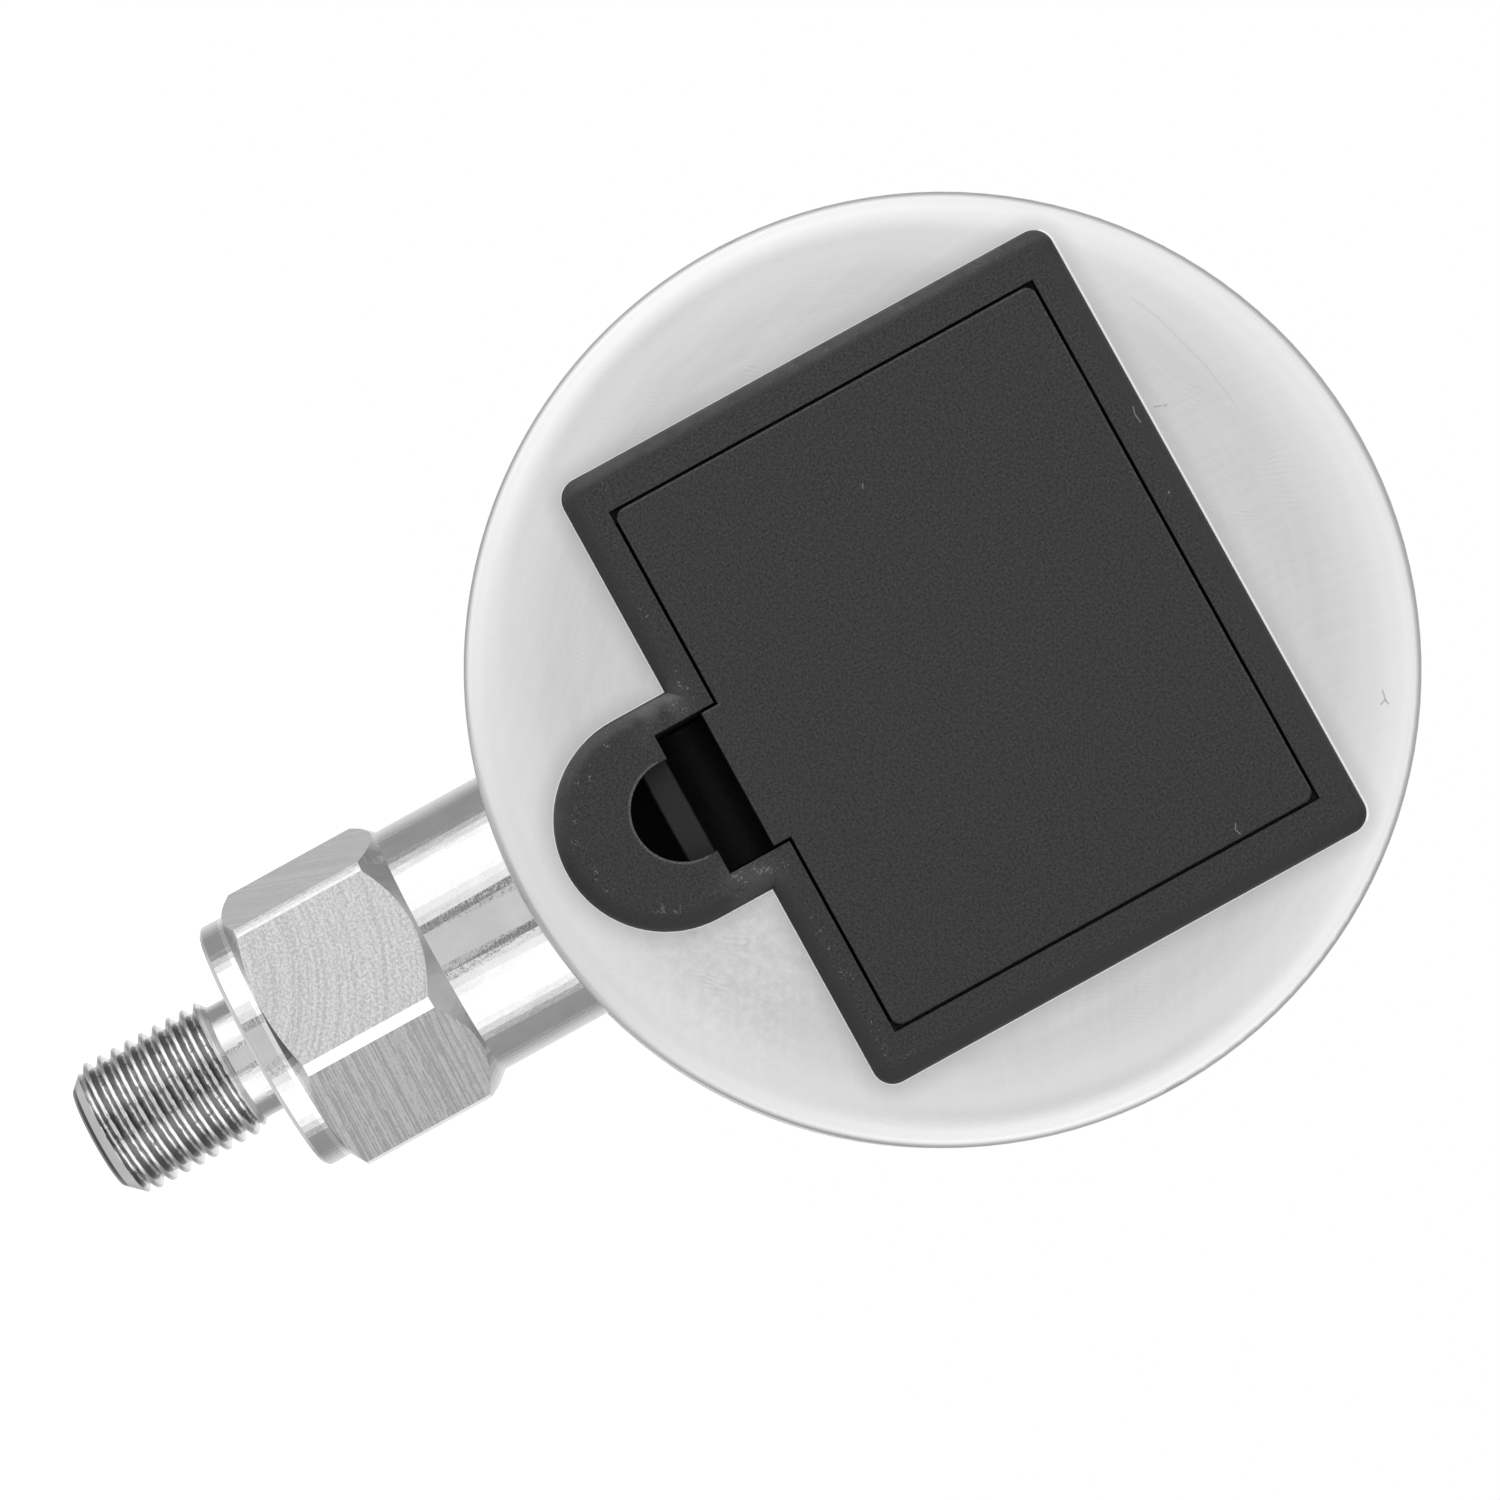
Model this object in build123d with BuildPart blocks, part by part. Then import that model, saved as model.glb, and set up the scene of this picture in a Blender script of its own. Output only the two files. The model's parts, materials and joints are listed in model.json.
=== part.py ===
from build123d import *
import os
from math import cos, radians, sin, sqrt

os.makedirs("parts", exist_ok=True)

# Battery-powered digital pressure gauge with a bottom connection, in millimetres.
# The stem points down -Z, the display faces -Y and the battery door faces +Y.
# The origin is on the stem's axis at the face that seals on the fitting it is screwed into.

# Driving dimensions of the stem
thread_radius = 7.0             # M14 x 1.5, drawn at its major diameter
thread_relief_radius = 6.05
thread_relief_length = 2.9
thread_runout = 0.85
stub_length = 18.0              # from the sealing face to the tip
tip_radius = 5.2
tip_chamfer_length = 1.9
port_radius = 2.5
neck_radius = 13.0              # also the collar below the hexagon
collar_length = 2.6
collar_edge = 0.4
bar_radius = 15.0               # the bar that the hexagon was milled from
hex_across_flats = 26.6
hex_length = 16.85
hex_lower_chamfer = 1.2
hex_upper_chamfer = 2.3
hex_turn = 13.6                 # how far a flat is turned from the back of the gauge, in degrees
neck_length = 9.95             # from the hexagon to the lowest point of the case
spigot_radius = 11.0
stem_nut_across_flats = 27.0
stem_nut_height = 4.5
stem_nut_chamfer_radius = 14.9
saddle_washer_radius = 14.2
saddle_washer_height = 2.95     # in the middle, where the case is lowest
spigot_stand_out = 0.5

# Driving dimensions of the sensor in the stem
sensor_radius = 9.5
sensor_height = 6.5
sensor_header_radius = 6.6
sensor_header_height = 1.4
sensor_pin_radius = 0.3
sensor_pin_length = 2.2
sensor_pin_ring_radius = 3.4
sensor_pin_count = 5
diaphragm_radius = 5.2
diaphragm_depth = 0.4
o_ring_radius = 7.4             # to the middle of its section
o_ring_width = 1.9
o_ring_height = 1.4
retainer_height = 4.0
retainer_depth = 3.75           # below the top of the spigot
retainer_bore_radius = 7.2
retainer_slot_width = 2.0
retainer_slot_depth = 1.2

# Driving dimensions of the case
case_margin = 2.2             # from the battery frame's far corners to the outside of the case
case_wall = 1.0
case_back = 19.0                # from the stem's axis to the outside of the back
case_front = 18.0               # from the stem's axis to the open edge
case_crown_radius = 13.0        # of the soft round from the flat back
case_crown_turn = 18.0          # how far the crown turns before the tight edge, in degrees
case_edge_radius = 1.2

# Driving dimensions of the front
gasket_thickness = 1.0
gasket_width = 2.2
panel_thickness = 2.4
plateau_height = 1.0
bezel_wall = 1.2
bezel_skirt = 4.0               # how far the bezel reaches back over the case
bezel_lip = 1.6
bezel_lip_width = 5.2
bezel_edge_radius = 1.2
lens_width = 53.0
lens_height = 27.0
lens_thickness = 1.5
lens_corner_radius = 2.5
lens_ledge = 2.5
display_offset = 7.0            # of the display's middle above the case's middle
display_border = 3.0            # of the display's glass round the opening
display_glass = 2.0
holder_wall = 1.5
holder_lip = 0.6
zebra_width = 2.2
zebra_length = 46.0
backlight_margin = 1.0
button_length = 12.0
button_width = 7.0
button_spacing = 17.0
button_offset = 20.0            # of the buttons below the case's middle
button_stand_out = 1.0
button_flange = 1.2
button_flange_thickness = 1.0
button_stem_radius = 1.7
button_travel = 0.5
button_edge_radius = 0.5
switch_size = 6.0
switch_height = 2.6
plunger_radius = 1.5
plunger_stand_out = 1.0

# Driving dimensions of the circuit board
board_margin = 4.5              # between the board's edge and the inside of the case
board_flat = 31.0               # from the case's middle down to the straight edge
board_thickness = 1.6
board_spacing = 6.4             # between the panel and the board
boss_radius = 2.6
boss_gap = 0.5
upper_boss_offset = 8.0         # above the case's middle
screw_radius = 1.1
screw_length = 6.0
screw_head_radius = 2.0
screw_head_height = 1.4
chip_size = 9.0
chip_height = 1.3
small_chip_width = 5.0
small_chip_length = 6.5
capacitor_radius = 3.0
capacitor_height = 5.5
socket_width = 10.0
socket_height = 3.2
socket_depth = 2.6
ribbon_width = 7.0
ribbon_thickness = 0.3
ribbon_bend = 2.0

# Driving dimensions of the cells and their contacts
cell_count = 3
cell_radius = 7.1
cell_length = 50.5              # with its nub
cell_nub_radius = 2.75
cell_nub_length = 1.0
cell_edge = 0.3
cell_spacing = 14.8
contact_thickness = 0.4
contact_width = 10.0
contact_dimple = 0.6
contact_dimple_radius = 2.4
spring_radius = 3.6
spring_length = 3.0
spring_wire_radius = 0.35
spring_turns = 2
spring_wire_sides = 6           # the round wire is drawn six-sided

# Driving dimensions of the battery box
stem_clearance = 2.1           # between the latch pocket and the top of the spigot
bay_end_margin = 0.5
box_wall = 1.2
box_floor = 1.2
cell_seat_gap = 0.2
cell_head_room = 0.4
frame_height = 2.2              # above the case's back
side_rail = 4.35
end_rail = 3.5
frame_corner_radius = 2.0
frame_edge_radius = 1.6
tab_radius = 10.4
tab_length = 5.6                # from the frame's edge to the middle of its round end
shoulder_thickness = 1.6
slot_half_width = 7.3
slot_length = 4.8
notch_radius = 4.85
notch_length = 0.95             # of its straight part
pocket_length = 12.3            # from the bay to its far wall
pocket_depth = 11.8             # below the top of the frame
pocket_wall = 1.0
pocket_corner_radius = 1.5
cell_rib_width = 1.6
cell_rib_height = 3.4
ledge_width = 1.0
ledge_height = 1.2
snap_length = 8.0
snap_height = 3.0
snap_reach = 0.9
snap_spread = 30.0

# Driving dimensions of the battery door
door_thickness = 2.0
door_gap = 0.3
door_corner_radius = 1.0
door_edge_radius = 0.3
door_tongue_length = 1.77
hook_width = 6.0
hook_spread = 34.0
hook_thickness = 1.3
hook_length = 1.4
hook_root = 2.0
hook_drop = 0.3
latch_thickness = 1.2
latch_depth = 10.9
latch_bar_width = 2.65
latch_bar_height = 1.6
latch_reach = 6.2               # between the middles of the latch's two legs

# Clearances
fit_gap = 0.05                  # between turned pieces that seat on each other
running_gap = 0.1
loose_gap = 0.2
button_gap = 0.2

# The case is the smallest circle that takes in the battery frame's far corners, with their margin,
# and leaves the spigot and its nut free under the latch pocket
bay_half_width = (cell_length + contact_dimple + spring_length) / 2 + contact_thickness
bay_half_height = cell_spacing * (cell_count - 1) / 2 + cell_radius + bay_end_margin
frame_half_width = bay_half_width + side_rail
stem_stack = case_wall + saddle_washer_height + stem_nut_height + spigot_stand_out
battery_column = (
    stem_stack + stem_clearance + pocket_wall + pocket_length + 2 * bay_half_height + end_rail
)
case_radius = (frame_half_width**2 + battery_column**2 - case_margin**2) / (
    2 * (battery_column - case_margin)
)
case_inner_radius = case_radius - case_wall
bay_offset = battery_column - case_radius - bay_half_height - end_rail

# Heights up the stem and into the case
hex_bottom = collar_length
hex_top = hex_bottom + hex_length
case_height = hex_top + neck_length + case_radius
saddle_radius = case_radius + fit_gap
washer_saddle_radius = case_inner_radius - fit_gap
nut_seat = case_height - case_inner_radius + saddle_washer_height
spigot_top = nut_seat + stem_nut_height + spigot_stand_out
retainer_top = spigot_top - retainer_depth
retainer_seat = retainer_top - retainer_height
sensor_seat = retainer_seat - sensor_height
o_ring_seat = sensor_seat - o_ring_height
sensor_pocket_radius = sensor_radius + running_gap

# Depths from front to back
back_y = case_back
rim_y = -case_front
panel_rear_y = rim_y - gasket_thickness
panel_front_y = panel_rear_y - panel_thickness
plateau_y = panel_front_y - plateau_height
bezel_front_y = panel_front_y - bezel_lip
bezel_rear_y = rim_y + bezel_skirt
lens_rear_y = plateau_y + lens_thickness
glass_front_y = panel_rear_y + holder_lip
glass_rear_y = glass_front_y + display_glass
board_front_y = panel_rear_y + board_spacing
board_rear_y = board_front_y + board_thickness
switch_front_y = board_front_y - switch_height
plunger_front_y = switch_front_y - plunger_stand_out
frame_top_y = back_y + frame_height
door_under_y = frame_top_y - door_thickness
cell_y = door_under_y - cell_head_room - cell_radius
bay_floor_y = cell_y - cell_radius - cell_seat_gap
box_rear_y = bay_floor_y - box_floor
pocket_floor_y = frame_top_y - pocket_depth
shoulder_y = frame_top_y - shoulder_thickness

# Places across the back
bay_middle = case_height + bay_offset
bay_bottom = bay_middle - bay_half_height
bay_top = bay_middle + bay_half_height
frame_bottom = bay_bottom - end_rail
tab_middle = frame_bottom - tab_length
door_half_width = bay_half_width - door_gap
door_bottom = bay_bottom + door_gap
door_top = bay_top - door_gap
slot_top = door_bottom - door_tongue_length
slot_bottom = slot_top - slot_length
pocket_bottom = bay_bottom - pocket_length
pocket_outer_half_width = slot_half_width + pocket_wall
tongue_half_width = slot_half_width - door_gap
hinge_y = frame_top_y - door_edge_radius
hinge_z = door_top - door_edge_radius
display_middle = case_height + display_offset
opening_width = lens_width - 2 * lens_ledge
opening_height = lens_height - 2 * lens_ledge
display_width = opening_width + 2 * display_border
display_height = opening_height + 2 * display_border
holder_width = display_width + 2 * (holder_wall + running_gap)
holder_height = display_height + 2 * (holder_wall + running_gap)
board_radius = case_inner_radius - board_margin
button_row = case_height - button_offset
button_places = {
    "left": -button_spacing,
    "middle": 0.0,
    "right": button_spacing,
}
upper_boss_x = holder_width / 2 + boss_gap + boss_radius
lower_boss_x = button_spacing + button_length / 2 + button_flange + boss_gap + boss_radius
upper_boss_z = case_height + upper_boss_offset
boss_places = [
    (-upper_boss_x, upper_boss_z),
    (upper_boss_x, upper_boss_z),
    (-lower_boss_x, button_row),
    (lower_boss_x, button_row),
]
case_axis = Axis((0, 0, case_height), (0, 1, 0))

# The round of the case's back, as places in depth and height: a wide crown, then a tight edge
turn = radians(case_crown_turn)
round_step = case_crown_radius - case_edge_radius
case_flat_radius = case_radius - case_edge_radius - round_step * sin(turn)
crown_end = (
    back_y - case_crown_radius * (1 - cos(turn)),
    case_height + case_flat_radius + case_crown_radius * sin(turn),
)
edge_end = (back_y - round_step * (1 - cos(turn)) - case_edge_radius, case_height + case_radius)


def facing(y):
    """The plane at depth y that faces the front, with X to the right and Z up."""
    return Plane.XZ.offset(-y)


def save(piece, name):
    """Label a finished piece and write its file."""
    piece.part.label = name
    export_step(piece.part, f"parts/{name}.step")


# Pressure connector: one turned bar, with the thread's stub, collar, hexagon, neck and spigot
neck_end = case_height - sqrt(saddle_radius**2 - neck_radius**2) + case_wall
with BuildPart() as pressure_connector:
    with BuildSketch(Plane.XZ):
        with BuildLine():
            Polyline(
                (0, -stub_length),
                (tip_radius, -stub_length),
                (thread_radius, -stub_length + tip_chamfer_length),
                (thread_radius, -thread_relief_length - thread_runout),
                (thread_relief_radius, -thread_relief_length),
                (thread_relief_radius, 0),
                (neck_radius - collar_edge, 0),
                (neck_radius, collar_edge),
                (neck_radius, hex_bottom),
                (bar_radius, hex_bottom + hex_lower_chamfer),
                (bar_radius, hex_top - hex_upper_chamfer),
                (neck_radius, hex_top),
                (neck_radius, neck_end),
                (0, neck_end),
                close=True,
            )
        make_face()
    revolve(axis=Axis.Z)
    with BuildSketch(Plane.XY.offset(-stub_length)):
        RegularPolygon(hex_across_flats / 2, 6, major_radius=False, rotation=-hex_turn)
    extrude(amount=stub_length + neck_end, mode=Mode.INTERSECT)
    # The neck's end is a saddle that fits the round case
    with BuildSketch(Plane.XZ):
        with Locations((0, case_height)):
            Circle(saddle_radius)
    extrude(amount=2 * neck_radius, both=True, mode=Mode.SUBTRACT)
    with BuildSketch(Plane.XY.offset(hex_top)):
        Circle(spigot_radius)
    extrude(amount=spigot_top - hex_top)
    # The sensor's pocket, its O-ring groove and the pressure port
    with BuildSketch(Plane.XY.offset(sensor_seat)):
        Circle(sensor_pocket_radius)
    extrude(amount=spigot_top - sensor_seat, mode=Mode.SUBTRACT)
    with BuildSketch(Plane.XY.offset(o_ring_seat)):
        Circle(o_ring_radius + o_ring_width / 2)
        Circle(o_ring_radius - o_ring_width / 2, mode=Mode.SUBTRACT)
    extrude(amount=o_ring_height, mode=Mode.SUBTRACT)
    with BuildSketch(Plane.XY.offset(-stub_length)):
        Circle(port_radius)
    extrude(amount=stub_length + sensor_seat, mode=Mode.SUBTRACT)
save(pressure_connector, "pressure_connector")

# O-ring under the sensor, squeezed to its groove
with BuildPart() as sensor_o_ring:
    with BuildSketch(Plane.XZ):
        with Locations((o_ring_radius, o_ring_seat + o_ring_height / 2)):
            RectangleRounded(o_ring_width, o_ring_height, o_ring_height / 2 - fit_gap)
    revolve(axis=Axis.Z)
save(sensor_o_ring, "sensor_o_ring")

# Sensor cell: a steel can with a diaphragm below, and a glass-sealed header with pins above
with BuildPart() as sensor_cell:
    with BuildSketch(Plane.XY.offset(sensor_seat)):
        Circle(sensor_radius)
    extrude(amount=sensor_height)
    with BuildSketch(Plane.XY.offset(sensor_seat)):
        Circle(diaphragm_radius)
    extrude(amount=diaphragm_depth, mode=Mode.SUBTRACT)
    with BuildSketch(Plane.XY.offset(retainer_seat)):
        Circle(sensor_header_radius)
    extrude(amount=sensor_header_height)
    with BuildSketch(Plane.XY.offset(retainer_seat + sensor_header_height)):
        with PolarLocations(sensor_pin_ring_radius, sensor_pin_count):
            Circle(sensor_pin_radius)
    extrude(amount=sensor_pin_length)
save(sensor_cell, "sensor_cell")

# Threaded ring that holds the sensor down, with two slots for a spanner
with BuildPart() as sensor_retainer:
    with BuildSketch(Plane.XY.offset(retainer_seat)):
        Circle(sensor_pocket_radius - fit_gap)
        Circle(retainer_bore_radius, mode=Mode.SUBTRACT)
    extrude(amount=retainer_height)
    with BuildSketch(Plane.XY.offset(retainer_top)):
        Rectangle(2 * sensor_pocket_radius, retainer_slot_width)
    extrude(amount=-retainer_slot_depth, mode=Mode.SUBTRACT)
save(sensor_retainer, "sensor_retainer")

# Saddle washer: flat for the nut above, curved below to fit inside the case
with BuildPart() as saddle_washer:
    with BuildSketch(Plane.XY.offset(nut_seat)):
        Circle(saddle_washer_radius)
        Circle(spigot_radius + running_gap, mode=Mode.SUBTRACT)
    extrude(amount=-case_height / 4)
    with BuildSketch(Plane.XZ):
        with Locations((0, case_height)):
            Circle(washer_saddle_radius)
    extrude(amount=2 * saddle_washer_radius, both=True, mode=Mode.INTERSECT)
save(saddle_washer, "saddle_washer")

# Thin nut that clamps the case to the stem
with BuildPart() as stem_nut:
    with BuildSketch(Plane.XY.offset(nut_seat)):
        RegularPolygon(stem_nut_across_flats / 2, 6, major_radius=False, rotation=30)
        Circle(stem_nut_chamfer_radius, mode=Mode.INTERSECT)
        Circle(spigot_radius + fit_gap, mode=Mode.SUBTRACT)
    extrude(amount=stem_nut_height)
save(stem_nut, "stem_nut")

# Case: a drawn stainless can with a round rim, open at the front
with BuildPart() as case_shell:
    with BuildSketch(Plane.YZ):
        with BuildLine():
            Line((rim_y, case_height), (back_y, case_height))
            flat = Line((back_y, case_height), (back_y, case_height + case_flat_radius))
            crown = TangentArc(flat @ 1, crown_end, tangent=flat % 1)
            edge = TangentArc(crown @ 1, edge_end, tangent=crown % 1)
            Polyline(edge @ 1, (rim_y, case_height + case_radius), (rim_y, case_height))
        make_face()
    revolve(axis=case_axis)
    offset(amount=-case_wall, openings=case_shell.faces().sort_by(Axis.Y)[0])
    with BuildSketch(Plane.XY):
        Circle(spigot_radius + running_gap)
    extrude(amount=case_height, mode=Mode.SUBTRACT)
    # The cut-out in the back that the battery box drops into
    with BuildSketch(facing(back_y)):
        with Locations((0, bay_middle)):
            Rectangle(
                2 * (bay_half_width + box_wall + loose_gap),
                2 * (bay_half_height + box_wall + loose_gap),
            )
        with Locations((0, (pocket_bottom + bay_bottom) / 2 - (pocket_wall + loose_gap) / 2)):
            RectangleRounded(
                2 * (pocket_outer_half_width + loose_gap),
                bay_bottom - pocket_bottom + pocket_wall + loose_gap,
                pocket_corner_radius + pocket_wall,
            )
    extrude(amount=2 * case_wall, mode=Mode.SUBTRACT)
save(case_shell, "case_shell")

# Battery box: one moulding, with the bay, the latch pocket and the frame on the outside
with BuildPart() as battery_box:
    with BuildSketch(facing(box_rear_y)):
        with Locations((0, bay_middle)):
            Rectangle(2 * (bay_half_width + box_wall), 2 * (bay_half_height + box_wall))
    extrude(amount=box_rear_y - back_y)
    with BuildSketch(facing(pocket_floor_y - pocket_wall)):
        with Locations((0, (pocket_bottom + bay_bottom - pocket_wall) / 2)):
            RectangleRounded(
                2 * pocket_outer_half_width,
                bay_bottom - pocket_bottom + pocket_wall,
                pocket_corner_radius + pocket_wall,
            )
    extrude(amount=pocket_floor_y - pocket_wall - back_y)
    with BuildSketch(facing(back_y)):
        with Locations((0, bay_middle)):
            RectangleRounded(
                2 * frame_half_width, 2 * (bay_half_height + end_rail), frame_corner_radius
            )
        with Locations((0, tab_middle)):
            Circle(tab_radius)
        with Locations((0, (tab_middle + bay_bottom) / 2)):
            Rectangle(2 * tab_radius, bay_bottom - tab_middle)
    extrude(amount=-frame_height)
    fillet(battery_box.faces().sort_by(Axis.Y)[-1].outer_wire().edges(), frame_edge_radius)
    # The bay, open to the back over its whole size
    with BuildSketch(facing(bay_floor_y)):
        with Locations((0, bay_middle)):
            Rectangle(2 * bay_half_width, 2 * bay_half_height)
    extrude(amount=bay_floor_y - frame_top_y, mode=Mode.SUBTRACT)
    # The latch pocket, under the shoulders that hold the latch down
    with BuildSketch(facing(pocket_floor_y)):
        with Locations((0, pocket_bottom + pocket_length / 2)):
            RectangleRounded(2 * slot_half_width, pocket_length, pocket_corner_radius)
        with Locations((0, bay_bottom - pocket_length / 4)):
            Rectangle(2 * slot_half_width, pocket_length / 2)
    extrude(amount=pocket_floor_y - shoulder_y, mode=Mode.SUBTRACT)
    # The slot and the finger notch through the shoulders
    with BuildSketch(facing(shoulder_y)):
        with Locations((0, (slot_bottom + bay_bottom) / 2)):
            Rectangle(2 * slot_half_width, bay_bottom - slot_bottom)
        with Locations((0, slot_bottom - notch_length)):
            Circle(notch_radius)
        with Locations((0, slot_bottom - notch_length / 2)):
            Rectangle(2 * notch_radius, notch_length)
    extrude(amount=-shoulder_thickness, mode=Mode.SUBTRACT)
    # Windows in the far wall for the door's hooks
    with BuildSketch(facing(back_y)):
        with Locations((-hook_spread / 2, bay_top + box_wall / 2), (hook_spread / 2, bay_top + box_wall / 2)):
            Rectangle(hook_width + 2 * door_gap, box_wall)
    extrude(amount=hook_thickness + running_gap + 2 * door_gap, mode=Mode.SUBTRACT)
    # Ribs between the cells and ledges that the door rests on
    with BuildSketch(facing(bay_floor_y)):
        with Locations((0, bay_middle)):
            with GridLocations(0, cell_spacing, 1, cell_count - 1):
                Rectangle(cell_length, cell_rib_width)
    extrude(amount=-cell_rib_height)
    ledge_x = bay_half_width - ledge_width / 2
    with BuildSketch(facing(door_under_y)):
        with Locations((-ledge_x, bay_middle), (ledge_x, bay_middle)):
            Rectangle(ledge_width, 2 * bay_half_height)
    extrude(amount=ledge_height)
    # Snap ramps on the side walls catch behind the case's back
    snap_top_y = back_y - case_wall - running_gap
    snap_wall_x = bay_half_width + box_wall
    for side in (-1, 1):
        for snap_z in (bay_middle - snap_spread / 2, bay_middle + snap_spread / 2):
            with BuildSketch(Plane.XY.offset(snap_z - snap_length / 2)):
                Polygon(
                    (side * (snap_wall_x - box_wall / 2), snap_top_y - snap_height),
                    (side * snap_wall_x, snap_top_y - snap_height),
                    (side * (snap_wall_x + snap_reach), snap_top_y),
                    (side * (snap_wall_x - box_wall / 2), snap_top_y),
                    align=None,
                )
            extrude(amount=snap_length)
save(battery_box, "battery_box")

# Battery door: one moulding, with two hooks at the far end and a U-shaped latch at the near end
bar_middle = slot_bottom - door_gap + loose_gap / 2 - latch_bar_width / 2
bar_top_y = shoulder_y - running_gap
near_leg = slot_top + latch_thickness / 2
far_leg = near_leg - latch_reach
bend_y = frame_top_y - latch_depth + latch_thickness / 2 + latch_reach / 2
with BuildPart() as battery_door:
    with BuildSketch(facing(door_under_y)):
        with Locations((0, (door_bottom + door_top) / 2)):
            RectangleRounded(2 * door_half_width, door_top - door_bottom, door_corner_radius)
        with Locations((0, slot_top + door_tongue_length)):
            Rectangle(2 * tongue_half_width, 2 * door_tongue_length)
    extrude(amount=-door_thickness)
    fillet(battery_door.faces().sort_by(Axis.Y)[-1].edges(), door_edge_radius)
    # Hooks that reach under the frame's far rail
    for side in (-1, 1):
        with BuildSketch(Plane.YZ.offset(side * hook_spread / 2)):
            Polygon(
                (door_under_y, door_top - door_edge_radius),
                (door_under_y, door_top - hook_root),
                (back_y - running_gap - hook_thickness, door_top - hook_root),
                (back_y - running_gap - hook_thickness, door_top + hook_length - door_edge_radius),
                (back_y - running_gap - hook_drop, door_top + hook_length),
                (back_y - running_gap, door_top + hook_length - door_edge_radius),
                (back_y - running_gap, door_top - door_edge_radius),
                align=None,
            )
        extrude(amount=hook_width / 2, both=True)
    # The springy latch: down from the tongue, round a bend and up to the finger bar
    with BuildSketch(Plane.YZ):
        with BuildLine():
            Polyline((door_under_y + door_edge_radius, near_leg), (bend_y, near_leg))
            ThreePointArc(
                (bend_y, near_leg),
                (bend_y - latch_reach / 2, (near_leg + far_leg) / 2),
                (bend_y, far_leg),
            )
            Line((bend_y, far_leg), (bar_top_y - latch_bar_height / 2, far_leg))
        trace(line_width=latch_thickness)
        with Locations((bar_top_y - latch_bar_height / 2, bar_middle)):
            RectangleRounded(latch_bar_height, latch_bar_width, door_edge_radius)
    extrude(amount=tongue_half_width, both=True)
save(battery_door, "battery_door")

# Cells: three in series, so that every second one is turned round
cell_names = ["lower", "middle", "upper"]
cell_shift = (spring_length - contact_dimple) / 2
for row in range(cell_count):
    cell_z = bay_middle + (row - (cell_count - 1) / 2) * cell_spacing
    nub_side = 1 if row % 2 == 0 else -1
    tail_x = nub_side * (cell_shift - cell_length / 2)
    cell_plane = Plane(origin=(tail_x, cell_y, cell_z), x_dir=(0, 1, 0), z_dir=(nub_side, 0, 0))
    with BuildPart() as battery_cell:
        with BuildSketch(cell_plane):
            Circle(cell_radius)
        extrude(amount=cell_length - cell_nub_length)
        chamfer(battery_cell.edges(), cell_edge)
        with BuildSketch(cell_plane.offset(cell_length - cell_nub_length)):
            Circle(cell_nub_radius)
        extrude(amount=cell_nub_length)
    save(battery_cell, f"battery_cell_{cell_names[row]}")

    # Its spring, a wire coil between the cell's flat end and the contact plate
    spring_plane = cell_plane.offset(-spring_length + spring_wire_radius)
    coil_height = spring_length - 2 * spring_wire_radius
    with BuildPart() as contact_spring:
        with BuildLine():
            coil = Helix(
                pitch=coil_height / spring_turns,
                height=coil_height,
                radius=spring_radius,
                center=spring_plane.origin,
                direction=spring_plane.z_dir,
            )
        with BuildSketch(Plane(origin=coil @ 0, z_dir=coil % 0)):
            RegularPolygon(spring_wire_radius, spring_wire_sides)
        sweep(path=coil, is_frenet=True)
    save(contact_spring, f"contact_spring_{cell_names[row]}")

# Contact plates: bridges join two neighbouring cells, terminals end the row
terminal_z = (cell_count - 1) / 2 * cell_spacing
contact_plates = {
    "contact_bridge_right": (1, bay_middle + cell_spacing / 2, cell_spacing),
    "contact_bridge_left": (-1, bay_middle - cell_spacing / 2, cell_spacing),
    "contact_terminal_plus": (1, bay_middle - terminal_z, 0),
    "contact_terminal_minus": (-1, bay_middle + terminal_z, 0),
}
for name, (side, plate_z, spread) in contact_plates.items():
    plate_x = side * bay_half_width
    with BuildPart() as contact_plate:
        with BuildSketch(Plane((plate_x, cell_y, plate_z), x_dir=(0, 1, 0), z_dir=(-side, 0, 0))):
            RectangleRounded(contact_width, contact_width + spread, contact_thickness)
        extrude(amount=contact_thickness)
        # The dimple touches the nub of the cell whose plus end is on this side
        for row in range(cell_count):
            cell_z = bay_middle + (row - (cell_count - 1) / 2) * cell_spacing
            nub_side = 1 if row % 2 == 0 else -1
            if nub_side == side and abs(cell_z - plate_z) <= spread / 2 + fit_gap:
                with BuildSketch(Plane((plate_x, cell_y, cell_z), x_dir=(0, 1, 0), z_dir=(-side, 0, 0))):
                    Circle(contact_dimple_radius)
                extrude(amount=contact_thickness + contact_dimple)
    save(contact_plate, name)

# Bezel: a turned ring with a lip in front and a skirt over the case
bezel_bore = case_radius + fit_gap
bezel_radius = case_radius + bezel_wall
bezel_window_radius = case_radius - bezel_lip_width
with BuildPart() as bezel_ring:
    with BuildSketch(Plane.YZ):
        with BuildLine():
            Polyline(
                (bezel_rear_y, case_height + bezel_bore),
                (bezel_rear_y, case_height + bezel_radius),
                (bezel_front_y, case_height + bezel_radius),
                (bezel_front_y, case_height + bezel_window_radius),
                (panel_front_y, case_height + bezel_window_radius),
                (panel_front_y, case_height + bezel_bore),
                close=True,
            )
        make_face()
    revolve(axis=case_axis)
    front_edges = bezel_ring.faces().sort_by(Axis.Y)[0].edges()
    fillet(front_edges.sort_by(SortBy.RADIUS)[-1], bezel_edge_radius)
    chamfer(bezel_ring.faces().sort_by(Axis.Y)[0].edges().sort_by(SortBy.RADIUS)[0], bezel_lip / 2)
save(bezel_ring, "bezel_ring")

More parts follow.
